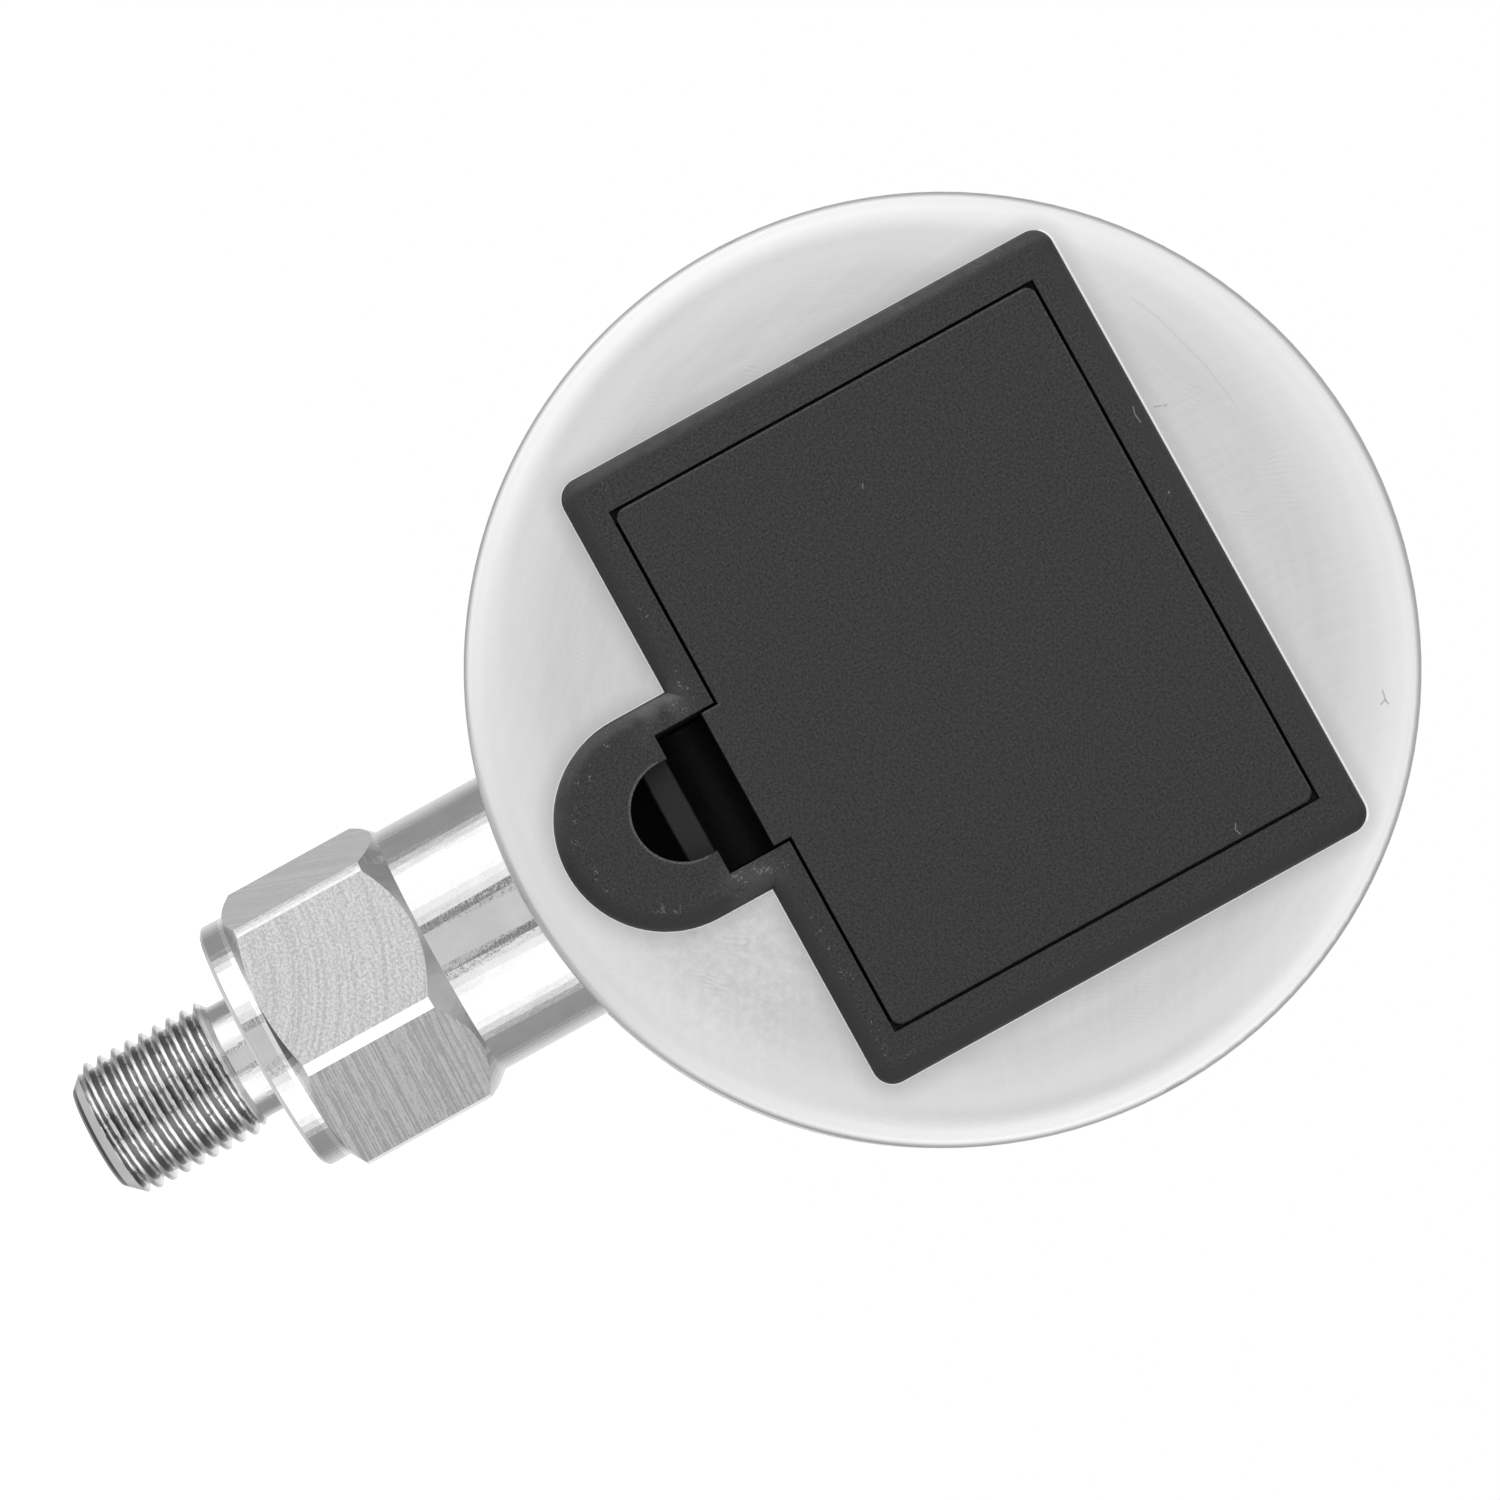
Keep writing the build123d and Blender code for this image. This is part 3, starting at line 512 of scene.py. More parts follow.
def frame_depth(x, z):
    """How far a point lies inside the outline of the battery box's frame."""
    frame_centre = (frame_top + frame_bottom) / 2
    frame_half_height = (frame_top - frame_bottom) / 2
    from_sides = abs(x) - frame_half_width + frame_corner
    from_ends = abs(z - frame_centre) - frame_half_height + frame_corner
    from_frame = hypotenuse(from_sides.largest(0.0), from_ends.largest(0.0))
    from_frame = from_frame + from_sides.largest(from_ends).smallest(0.0) - frame_corner
    from_tab = hypotenuse(x, (z - tab_middle).smallest(0.0)) - tab_radius
    from_tab = from_tab.largest(z - frame_centre)
    return from_frame.smallest(from_tab) * -1.0


print("frame", round(2 * frame_half_width, 2), "by", round(frame_top - frame_bottom, 2))

# %% [markdown]
# ## Marks on steel and plastic
# A drawn can is polished with a belt or a pad that swings over its back, which leaves faint arcs. Arcs are
# noise that is stretched round a centre: the noise reads the distance from that centre finely and the angle
# coarsely. Where the pad chattered there are groups of short stripes: Voronoi cells give each group its own
# direction and strength. Scratches and bits of lint are short lines that are listed one by one.

# %% Arcs, stripes and scratches


def arcs(graph, x, z, centre, fineness, strokes):
    """Noise in arcs round a centre, finer across them than along them."""
    across = x - centre[0]
    up = z - centre[1]
    reach = hypotenuse(across, up)
    spot = graph.join(across / reach * strokes, up / reach * strokes, reach * fineness)
    return graph.noise(spot, 1.0, 3.0, 0.6)


def chatter(graph, x, z, size, pitch, seed):
    """Groups of short parallel marks: each cell has its own direction and strength."""
    values = {"Vector": graph.join(x, z, seed), "Scale": 1.0 / size}
    tint = graph.node("ShaderNodeTexVoronoi", None, values, "Color")
    middle_distance = graph.other(tint, "Distance")
    turn, strength, shift = graph.split(tint)
    way = (turn - 0.5) * 1.1 + 0.5
    across = x * way.math("COSINE") + z * way.math("SINE")
    waver = graph.noise(graph.join(x, z, seed + 5.0), 0.6, 2.0)
    stripes = ((across + waver * 0.30) * (math.tau / pitch) + shift * 9.0).math("SINE")
    return stripes * strength.between(0.45, 0.95) * middle_distance.between(0.60, 0.20)


def scuff(graph, x, z, start, end, width):
    """A short scratch: one where the point is near the line between two places."""
    run = (end[0] - start[0], end[1] - start[1])
    length = math.hypot(*run)
    along = ((x - start[0]) * run[0] + (z - start[1]) * run[1]) / length
    off = ((x - start[0]) * run[1] - (z - start[1]) * run[0]) / length
    beyond = abs(along - length / 2) - length / 2
    distance = beyond.largest(0.0) + abs(off)
    return distance.between(width, width / 3)


print("marks ready")

# %% [markdown]
# ## Rounds of the case
# Towards the side wall the flat back bends down in two rounds, a wide crown and then a tight edge. The CAD
# mesh is made of long thin triangles there, and its stored directions waver, which gave the rim's
# reflection a sawtooth. Both rounds are rings with a known centre line, so the material works out the exact
# direction from the place alone, and hands it to the Bump node in place of the mesh's own. The inner skin
# of the wall lies nearer to the centre lines and keeps its own direction.

# %% Exact direction of the rounds
crown_radius = 13.0
crown_turn = math.radians(18.0)
edge_radius = 1.2
round_step = crown_radius - edge_radius
edge_centre = case_radius - edge_radius
edge_centre_y = case_back - edge_radius - round_step * (1 - math.cos(crown_turn))
crown_centre = edge_centre - round_step * math.sin(crown_turn)
crown_centre_y = case_back - crown_radius
crown_end = edge_centre + edge_radius * math.sin(crown_turn)
rounds_depth = 4.0


def rim_facing(graph, x, y, z):
    """The way the case's outer skin faces: worked out on its two rounds, the mesh's own elsewhere."""
    up = z - case_middle
    reach = hypotenuse(x, up)
    past = reach - edge_centre
    rise = (y - edge_centre_y).largest(0.0)
    edge_distance = hypotenuse(past, rise)
    on_edge = (edge_distance > edge_radius * 0.8) * (reach > crown_end) * (y > case_back - rounds_depth)
    crown_past = reach - crown_centre
    crown_rise = y - crown_centre_y
    crown_distance = hypotenuse(crown_past, crown_rise)
    on_crown = (crown_distance > crown_radius - 0.5) * (reach > crown_centre) * (reach < crown_end)
    elsewhere = 1.0 - on_edge - on_crown
    outwards = on_edge * past / edge_distance + on_crown * crown_past / crown_distance
    backwards = on_edge * rise / edge_distance + on_crown * crown_rise / crown_distance + elsewhere
    exact = graph.join(x / reach * outwards, backwards, up / reach * outwards)
    turn = {"vector_type": "NORMAL", "convert_from": "OBJECT", "convert_to": "WORLD"}
    exact = graph.node("ShaderNodeVectorTransform", turn, (exact,))
    own = graph.node("ShaderNodeNewGeometry", output="Normal")
    values = {0: on_edge + on_crown, 4: own, 5: exact}
    return graph.node("ShaderNodeMix", {"data_type": "VECTOR"}, values, output=1)


print("crown from radius", round(crown_centre, 2), "to", round(crown_end, 2))

# %% [markdown]
# ## Satin steel of the case
# Two sets of arcs with different centres keep the back from looking turned on a lathe. Over them lie the
# groups of stripes, a fine grain and large soft clouds. Beside the tab, where a finger holds the case while
# the latch is pulled, the steel is mottled. The rounds get a painted highlight, and the tight edge a
# painted shade and more roughness. Along the battery frame runs a painted soft shade, and right beside the
# frame a painted light line, the highlight that its edge throws on the steel.

# %% Satin steel
arc_centre = (4.0, case_middle - 3.0)
swing_centre = (-52.0, case_middle + 30.0)
thumb_place = (-15.0, 42.0)
# The third grey is the painted shade of the tight edge.
steel_dull, steel_bright, painted_rim_grey, scratch_shade = grey(0.655), grey(0.86), grey(0.70), grey(0.20)
# Radii of the painted highlight on the rounds, of the painted shade on the tight edge and of its duller
# finish.
painted_round_highlight, painted_rim_shade, edge_dulling = (35.0, 41.0), (41.2, 42.8), (42.8, 43.8)
# The second pair places the painted soft shade along the battery frame.
thumb_reach, painted_frame_shade = (15.0, 3.0), (2.4, 0.0)
# Widths of the painted light line beside the frame, broader along its top end.
painted_glint_width, painted_glint_width_top = (0.16, 0.08), (0.34, 0.22)
steel_scuffs = [
    ((11.77, 102.92), (11.55, 103.50), 0.10, 0.5),
    ((11.45, 103.72), (11.35, 104.03), 0.10, 0.5),
    ((-21.5, 108.7), (-22.5, 108.5), 0.10, 0.5),
    ((-22.4, 108.5), (-22.6, 107.9), 0.10, 0.5),
    ((-22.5, 108.5), (-22.9, 108.6), 0.12, 0.5),
    ((21.7, 106.0), (18.8, 107.3), 0.14, 0.1),
    ((18.8, 107.3), (12.7, 109.0), 0.14, 0.1),
    ((12.7, 109.0), (8.6, 109.6), 0.14, 0.1),
]


@finish("case_steel")
def case_steel(graph):
    place = graph.place()
    x, y, z = graph.split(place)
    on_back = y > case_back - 0.5
    long_arcs = arcs(graph, x, z, arc_centre, 0.9, 3.0)
    swing = arcs(graph, x, z, swing_centre, 1.4, 5.0)
    ripples = chatter(graph, x, z, 3.8, 0.52, 0.0) + chatter(graph, x, z, 2.4, 0.40, 40.0)
    patches = graph.noise(place, 0.14, 2.0).between(0.42, 0.62)
    grain = graph.noise(place, 5.0, 3.0, 0.65) - 0.5
    clouds = graph.noise(place, 0.05, 2.0) - 0.5
    sweeps = long_arcs.between(0.3, 0.7) + swing.between(0.3, 0.7) - 1.0
    thumbed = hypotenuse(x - thumb_place[0], z - thumb_place[1]).between(*thumb_reach)
    mottle = graph.noise(place, 1.2, 4.0, 0.75) - 0.5
    tone = 0.5 + ripples * (0.03 + patches * (0.09 + thumbed * 0.15)) + sweeps * 0.14 + grain * 0.35
    tone = tone + clouds * 0.3 + mottle * (0.15 + thumbed * 1.7)
    colour = graph.mix(tone.between(0.0, 1.0, soft=False), steel_dull, steel_bright)
    reach = hypotenuse(x, z - case_middle)
    # Painted highlight on the rounds, then painted shade on the tight edge.
    colour = graph.mix(reach.between(*painted_round_highlight) * 0.5, colour, grey(1.0))
    colour = graph.mix(reach.between(*painted_rim_shade) * 0.55, colour, painted_rim_grey)
    beside = frame_depth(x, z) * -1.0
    # Painted soft shade on the steel along the battery frame.
    colour = graph.mix(beside.between(*painted_frame_shade) * on_back * 0.30, colour, grey(0.35))
    # A painted light line right beside the frame, the highlight of its edge, broken up by the grain.
    painted_top_glint = beside.between(*painted_glint_width_top) * (z > frame_top - 0.5)
    painted_edge_glint = beside.between(*painted_glint_width).largest(painted_top_glint)
    colour = graph.mix(painted_edge_glint * on_back * grain.between(-0.25, -0.05), colour, grey(1.0))
    for start, end, width, strength in steel_scuffs:
        mark = scuff(graph, x, z, start, end, width) * on_back
        colour = graph.mix(mark * strength, colour, scratch_shade)
    roughness = 0.30 + ripples * 0.02 + grain * 0.08 + reach.between(*edge_dulling) * 0.18
    height = ripples * 0.06 + grain * 0.5
    facing = rim_facing(graph, x, y, z)
    close_finish(graph, colour, roughness, height, bump=0.02, metallic=1.0, facing=facing)


# %% [markdown]
# ## Cutter's marks on the hexagon
# The flats of the hexagon were cut by a milling cutter, and each of three neighbours has its own marks:
# swirls on one, diagonal lines on the next and lines across the stem on the third. Each kind is a formula
# for the distance across its lines, and one noise reads that distance finely. A plain grain covers the
# rest.

# %% Marks for three kinds of flat
swirl_centre = (7.0, -9.0)


def cutter_marks(graph, across, z, kinds, sector):
    """Marks on a flat of the hexagon: swirls, diagonal lines or lines across, by its kind."""
    swirled, slanted, level = kinds
    swirl = hypotenuse(across - swirl_centre[0], z - swirl_centre[1])
    diagonal = across * 0.6 + z * 0.8
    upright = z - across * 0.07
    line = swirled * swirl + slanted * diagonal + level * upright
    wander = graph.noise(graph.join(across, z, sector), 0.25, 2.0)
    fine = graph.noise(graph.join(line * 5.0, wander * 3.0, sector), 1.0, 2.0, 0.6)
    grain = graph.noise(graph.join(across, z, sector), 3.4, 3.0, 0.75)
    share = 0.70 - swirled * 0.36
    return fine.between(0.32, 0.68) * share + grain.between(0.32, 0.68) * (1.0 - share)


print("swirls round", swirl_centre)

# %% [markdown]
# ## Turned steel of the stem
# The tool of a lathe leaves rings, much finer along the axis than a fingernail can feel. They are noise
# that reads only the height. The hexagon's corners, a thin band at the top of the collar and the small
# faces at its foot get a painted highlight. In the thread the flanks that face up get a painted highlight
# and those that face down a painted shade, and dark specks in the roots are dirt and painted shade. Round
# the port the end face gets a painted dark edge, weaker nearest the tip.

# %% Turned steel
sixth = math.radians(60)
# The third grey is bright steel that also serves as painted highlight; the fourth is the painted deep
# shade.
steel_dark, steel_light, bright_steel_and_highlight, deep_shade = grey(0.53), grey(0.80), grey(0.97), grey(0.03)
groove_depth, root_depth = (0.08, 0.20), (0.66, 0.76)
# Heights of the painted dark edge round the port and of its weaker part at the tip, and how far past the
# port it reaches.
painted_nose_shade_height, nose_weaker_shade_height, nose_width = (0.62, 0.50), (0.24, 0.16), 0.5


@finish("turned_steel")
def turned_steel(graph):
    place = graph.place()
    x, y, z = graph.split(place)
    reach = hypotenuse(x, y)
    around = x.math("ARCTAN2", y) - hex_turn
    sector = (around / sixth).math("ROUND")
    local = around - sector * sixth
    kind = (sector + 6.0).math("FLOORED_MODULO", 3.0)
    kinds = (kind < 0.5, (kind > 0.5) * (kind < 1.5), kind > 1.5)
    swirled, slanted, level = kinds
    on_hexagon = (z > collar_height) * (z < hex_top)
    on_flat = (reach * local.math("COSINE") > hex_flat_radius - 0.02) * on_hexagon
    marks = cutter_marks(graph, reach * local.math("SINE"), z, kinds, sector)
    rings = graph.noise(graph.join(0.0, 0.0, z * 7.0), 1.0, 3.0, 0.7)
    waves = graph.noise(graph.join(x * 1.1, y * 1.1, z * 2.6), 1.0, 2.0, 0.6)
    stains = graph.noise(place, 0.3, 2.0)
    strength = 1.4 - slanted * 0.6
    tone = (rings * 0.5 + stains * 0.5) * (1.0 - on_flat) + ((marks - 0.5) * strength + 0.5) * on_flat
    colour = graph.mix(tone.between(0.1, 0.9, soft=False), steel_dark, steel_light)
    colour = graph.mix(on_flat * (level * 0.30 + swirled * 0.16), colour, grey(0.08))
    colour = graph.mix(on_flat * slanted * 0.25, colour, bright_steel_and_highlight)
    # Painted highlight on the hexagon's corners, at the top of the collar and on the small faces at its
    # foot.
    corner = on_hexagon * (1.0 - on_flat) * (reach > bar_radius - 0.04)
    near_hexagon = z.between(collar_height - 0.5, collar_height - 0.4) * (z < collar_height + 0.05)
    near_relief = z.between(0.35, 0.25) * (z > -0.01)
    painted_collar_highlight = near_hexagon.largest(near_relief) * 0.6
    colour = graph.mix(painted_collar_highlight.largest(corner), colour, bright_steel_and_highlight)
    above_nose = z - stem_foot
    on_thread = (z < -relief_length - runout_length / 2) * (above_nose > tip_chamfer)
    below_crest = thread_radius - reach
    groove = on_thread * below_crest.between(*groove_depth)
    root = groove * below_crest.between(*root_depth)
    lean = graph.split(graph.node("ShaderNodeTexCoord", output="Normal"))[2]
    # Painted highlight on the thread's flanks that face up.
    colour = graph.mix(groove * lean.between(0.15, 0.5) * 0.8, colour, bright_steel_and_highlight)
    # Dark specks in the thread's roots: dirt and painted shade.
    root_dirt_and_shade = graph.noise(graph.join(x * 1.6, y * 1.6, z * 4.0), 1.0, 2.0).between(0.56, 0.64)
    # A painted dark edge round the port, weaker nearest the tip.
    past_port = reach.between(port_radius, port_radius + nose_width)
    painted_nose_shade = above_nose.between(*painted_nose_shade_height) * past_port
    painted_nose_shade = painted_nose_shade * (1.0 - above_nose.between(*nose_weaker_shade_height) * 0.55)
    # Painted shade on the thread's flanks that face down.
    lower_flank = groove * lean.between(-0.15, -0.5)
    # Painted shade of the lower flanks and the port's edge, and the dirt and painted shade in the roots.
    shade = (lower_flank * 0.75).largest(root * root_dirt_and_shade * 0.60).largest(painted_nose_shade * 0.9)
    colour = graph.mix(shade, colour, deep_shade)
    roughness = 0.06 + rings * 0.05 + on_flat * (0.24 + marks * 0.08)
    height = (rings * 0.8 + waves * 0.9) * (1.0 - on_flat) + marks * on_flat
    close_finish(graph, colour, roughness, height, bump=0.05, metallic=1.0, Anisotropic=0.6)


# %% [markdown]
# ## Black moulding
# The battery box and its door come from a spark-eroded mould, so they have a fine, even grain and hardly
# any gloss. The sloping border of the frame is smoother and gets a painted shade. Dust sits in the grain:
# single bright specks, a crowd of them where the slope begins, a pale film on the slope and at the
# shoulders of the tab, and a few bits of lint. The edges of the door and of the finger notch get a thin
# painted highlight, and the deep part of the latch slot a painted shade. How far a point lies inside the
# frame's outline tells most of these where to be. The side towards +x, the upper one in the photograph,
# gets more specks, less painted shade and a paler film, which is dust and painted light together.

# %% Black moulding
# The third grey is the painted shade of the slope.
moulding_dark, moulding_light, painted_slope_shade = grey(0.008), grey(0.060), grey(0.003)
# The first grey is a film of dust and painted light, the last the painted shade deep in the latch slot.
dust_and_light_film, dust_and_highlight, slot_shade = grey(0.42), grey(0.45), grey(0.002)
slope_depth, crowd_start, crowd_end = (1.9, 1.3), (1.0, 1.8), (3.4, 2.2)
# The notch and door widths are those of their painted edge highlights.
shoulder_reach, notch_highlight_width, door_highlight_width = (4.5, 1.0), (0.28, 0.16), (0.24, 0.12)
lint = [
    ((18.4, 75.6), (18.0, 75.4), 0.07),
    ((12.6, 101.0), (11.9, 100.8), 0.08),
    ((11.9, 100.8), (11.0, 100.9), 0.08),
    ((4.1, 100.1), (4.0, 100.0), 0.12),
    ((-25.7, 90.6), (-26.2, 90.3), 0.08),
    ((-26.2, 90.3), (-26.8, 90.5), 0.08),
]


@finish("black_moulding")
def black_moulding(graph):
    place = graph.place()
    x, y, z = graph.split(place)
    sideways = graph.split(graph.node("ShaderNodeTexCoord", output="Normal"))[0]
    depth = frame_depth(x, z)
    outside = y > case_back + 0.05
    slope = depth.between(*slope_depth) * outside
    facing_up = sideways.between(-0.05, 0.45)
    grain = graph.noise(place, 4.2, 2.0, 0.6).between(0.30, 0.70, soft=False)
    fine = graph.noise(place, 9.0, 2.0, 0.6) - 0.5
    worn = graph.noise(place, 0.35, 2.0, 0.6)
    tone = (grain - 0.5) * (1.0 - slope * 0.5) + fine * 0.6 + 0.5
    colour = graph.mix(tone.between(0.0, 1.0, soft=False), moulding_dark, moulding_light)
    # Painted shade on the slope, half as much where it faces +x.
    colour = graph.mix(slope * (0.30 - facing_up * 0.15), colour, painted_slope_shade)
    # A pale film of dust and painted light on the slope, stronger and patchy where it faces +x and the
    # light falls; the tab's shoulders get dust.
    film = slope * (0.10 + facing_up * (0.12 + worn.between(0.35, 0.65) * 0.40))
    beside_tab = abs(x) - tab_radius + 1.0
    above_tab = z - frame_bottom + 1.5
    shoulder = hypotenuse(beside_tab, above_tab).between(*shoulder_reach)
    film = film + shoulder * worn.between(0.30, 0.60) * 0.9 * outside
    colour = graph.mix(film * 0.10, colour, dust_and_light_film)
    cells = graph.node("ShaderNodeTexVoronoi", None, {"Vector": place, "Scale": 4.4}, "Distance")
    near_tab = z.between(frame_bottom + 14.0, frame_bottom, 0.25, 1.0)
    edge_line = depth.between(*crowd_start) * depth.between(*crowd_end) * near_tab
    patches = graph.noise(place, 0.8, 3.0, 0.7).between(0.48, 0.62)
    crowd = 0.08 + edge_line * worn.between(0.42, 0.56) * patches * 0.48
    crowd = crowd + (facing_up * slope).largest(shoulder) * patches * 0.22
    specks = (crowd - cells).between(0.0, 0.12) * outside
    marks = scuff(graph, x, z, *lint[0])
    for plan in lint[1:]:
        marks = marks.largest(scuff(graph, x, z, *plan))
    # Thin painted highlights along the edges of the finger notch and of the door.
    from_notch = abs(hypotenuse(x, z - notch_middle) - notch_radius)
    notch_edge = from_notch.between(*notch_highlight_width) * (z < notch_middle) * (y > frame_face - 0.1)
    from_door = (door_half_width - abs(x)).smallest(z - door_bottom).smallest(door_top - z)
    from_tongue = (tongue_half_width - abs(x)).smallest(z - slot_high).smallest(door_top - z)
    from_door = from_door.largest(from_tongue)
    door_edge = abs(from_door).between(*door_highlight_width) * outside
    painted_edge_highlights = (notch_edge * 0.22).largest(door_edge * 0.11) * fine.between(-0.20, 0.10)
    # Dust specks and lint, with the painted edge highlights, all in the same pale grey.
    pale = (specks * 0.27).largest(marks * outside * 0.4).largest(painted_edge_highlights)
    colour = graph.mix(pale, colour, dust_and_highlight)
    # Painted shade deep in the latch slot.
    in_slot = (y < frame_face - 0.8) * (z > notch_middle - notch_radius) * (z < bay_low)
    colour = graph.mix(in_slot * 0.7, colour, slot_shade)
    roughness = 0.60 + grain * 0.14 - slope * 0.08
    height = grain * (1.0 - slope * 0.7)
    close_finish(graph, colour, roughness, height, bump=0.08, Specular_IOR_Level=0.35)


# %% [markdown]
# ## Plain finishes of the other parts
# The rest are simple materials that differ in colour, roughness, metal and grain, and the list gives these
# four. One function makes them all, each with a fine noise in its colour, its roughness and its bump,
# because a surface that is exactly even looks like plastic film.

# %% Simple finishes
simple_plans = {
    "panel_moulding": ((0.030, 0.032, 0.036), 0.55, 0.0, 4.0),
    "key_rubber": ((0.30, 0.31, 0.33), 0.60, 0.0, 3.0),
    "display_grey": ((0.46, 0.50, 0.44), 0.28, 0.0, 0.5),
    "white_moulding": ((0.75, 0.75, 0.73), 0.50, 0.0, 2.0),
    "backlight_diffuser": ((0.85, 0.86, 0.84), 0.45, 0.0, 1.0),
    "seal_rubber": ((0.03, 0.03, 0.03), 0.75, 0.0, 3.0),
    "contact_rubber": ((0.35, 0.25, 0.22), 0.70, 0.0, 3.0),
    "board_green": ((0.02, 0.14, 0.06), 0.35, 0.0, 1.0),
    "chip_black": ((0.02, 0.02, 0.02), 0.55, 0.0, 5.0),
    "can_aluminium": ((0.75, 0.75, 0.76), 0.30, 1.0, 2.0),
    "ribbon_amber": ((0.50, 0.22, 0.04), 0.30, 0.0, 0.6),
    "zinc_screw": ((0.66, 0.67, 0.68), 0.35, 1.0, 3.0),
    "nickel_contact": ((0.72, 0.70, 0.66), 0.24, 1.0, 2.0),
}


def simple_finish(name, colour, roughness, metallic, grain_scale):
    """Makes one of the plain finishes."""

    @finish(name)
    def fill(graph):
        grain = graph.noise(graph.place(), grain_scale, 3.0, 0.6)
        dark = (*[value * 0.9 for value in colour], 1.0)
        light = (*[value * 1.1 for value in colour], 1.0)
        tone = graph.mix(grain, dark, light)
        close_finish(graph, tone, roughness + grain * 0.08, grain, bump=0.03, metallic=metallic)


for name, plan in simple_plans.items():
    simple_finish(name, *plan)

# %% [markdown]
# ## Clear lens and battery jacket
# The lens is a clear plate, so its shader lets light through. The jacket of a cell is a printed film with
# bare metal at both ends; here it is a plain dark blue with a lighter band, by the distance along the cell.

# %% Lens and jacket
cell_cap_start = 24.3
band_start = 12.0


@finish("clear_lens")
def clear_lens(graph):
    haze = graph.noise(graph.place(), 0.8, 2.0)
    values = {"Transmission_Weight": 1.0, "IOR": 1.49}
    close_finish(graph, grey(0.98), 0.02 + haze * 0.02, None, **values)


@finish("cell_jacket")
def cell_jacket(graph):
    along = graph.split(graph.place())[0]
    bare = abs(along) > cell_cap_start
    film = graph.mix(along > band_start, (0.010, 0.028, 0.085, 1.0), (0.62, 0.62, 0.64, 1.0))
    colour = graph.mix(bare, film, grey(0.70))
    close_finish(graph, colour, 0.28, None, metallic=bare)


# %% [markdown]
# ## Which part has which finish
# The record of the CAD model already names a finish for each node, so the parts only have to be dressed in
# the material with that name.

# %% Dress the CAD nodes
slots = {item["node"]: item["material_slot"] for item in frame["record"]["subparts"]}
for name, part in parts.items():
    part.data.materials.clear()
    part.data.materials.append(finishes[slots[name]])
print("dressed", len(slots), "nodes")

# %% [markdown]
# ## Geometry Nodes from a script
# Geometry Nodes suit what follows a rule, such as a thread, or what repeats, such as springs. A tree gets
# its sizes as named inputs, so that it could be used again by hand. The script runs it on an empty mesh and
# keeps the result as a plain mesh, because a live modifier isn't wanted on a finished piece.

# %% Helpers for node trees
REAL = "NodeSocketFloat"
WHOLE = "NodeSocketInt"


def node_group(name, inputs):
    """An empty Geometry Nodes tree with a geometry input and output and named sizes."""
    tree = bpy.data.node_groups.new(name, "GeometryNodeTree")
    tree.interface.new_socket("Geometry", in_out="INPUT", socket_type="NodeSocketGeometry")
    for label, (kind, value) in inputs.items():
        socket = tree.interface.new_socket(label, in_out="INPUT", socket_type=kind)
        socket.default_value = value
    tree.interface.new_socket("Geometry", in_out="OUTPUT", socket_type="NodeSocketGeometry")
    graph = Graph(tree)
    source = graph.node("NodeGroupInput")
    return graph, {label: graph.other(source, label) for label in inputs}


def run_group(name, graph, inputs, material):
    """Runs a tree on an empty mesh and gives the result as a plain mesh object."""
    holder = bpy.data.objects.new(name, bpy.data.meshes.new(name))
    bpy.context.scene.collection.objects.link(holder)
    modifier = holder.modifiers.new("make", "NODES")
    modifier.node_group = graph.tree
    for item in graph.tree.interface.items_tree:
        if item.in_out == "INPUT" and item.name in inputs:
            modifier[item.identifier] = inputs[item.name][1]
    depsgraph = bpy.context.evaluated_depsgraph_get()
    mesh = bpy.data.meshes.new_from_object(holder.evaluated_get(depsgraph))
    holder.modifiers.remove(modifier)
    holder.data = mesh
    mesh.name = name
    mesh.materials.clear()
    mesh.materials.append(material)
    return holder


def end_group(graph, geometry, material):
    """The last nodes of every tree: real geometry with its material."""
    solid = graph.node("GeometryNodeRealizeInstances", None, (geometry,))
    dressed = graph.node("GeometryNodeSetMaterial", None, {"Geometry": solid, "Material": material})
    graph.node("NodeGroupOutput", None, (dressed,))


print("tree helpers ready")

# %% [markdown]
# ## Screw thread
# A thread is a rule: the radius depends on the height and on the turn together. So a flat grid is wrapped
# round the axis, and each point takes the smallest of three radii, which are the thread's own profile, the
# chamfer at the tip and the relief under the collar. The rows at the grid's two ends close the tip, the
# port and the top, so that the stub is one closed shell.

# %% Thread by Geometry Nodes
thread_top = 1.4
flank_start, flank_end = 0.10, 0.42
depth_share = 0.52
weld_distance = 0.0005
thread_sizes = {
    "Columns": (WHOLE, 120),
    "Rows": (WHOLE, 260),
    "Top": (REAL, thread_top),
    "Length": (REAL, -stem_foot),
    "Radius": (REAL, thread_radius),
    "Pitch": (REAL, thread_pitch),
    "Port radius": (REAL, port_radius),
}
graph, sizes = node_group("screw_thread", thread_sizes)
grid_values = {
    "Size X": 1.0,
    "Size Y": 1.0,
    "Vertices X": sizes["Columns"] + 1.0,
    "Vertices Y": sizes["Rows"] + 4.0,
}
grid = graph.node("GeometryNodeMeshGrid", None, grid_values)
across, along, _ = graph.split(graph.node("GeometryNodeInputPosition"))
turn = across + 0.5
row = ((along + 0.5) * (sizes["Rows"] + 3.0)).math("ROUND")
share = ((row - 1.0) / sizes["Rows"]).largest(0.0).smallest(1.0)
height = -1.0 * (sizes["Top"] + share * (sizes["Length"] - sizes["Top"]))
thread_depth = sizes["Pitch"] * depth_share
phase = (height / sizes["Pitch"] - turn + 100.0).math("FRACT")
off_crest = abs(phase - 0.5)
profile = sizes["Radius"] - off_crest.between(flank_start, flank_end, soft=False) * thread_depth
relief_start = -relief_length - runout_length
relief = height.between(relief_start, -relief_length, thread_radius, relief_radius, soft=False)
tip = (height + sizes["Length"]).between(0.0, tip_chamfer, tip_radius, thread_radius, soft=False)
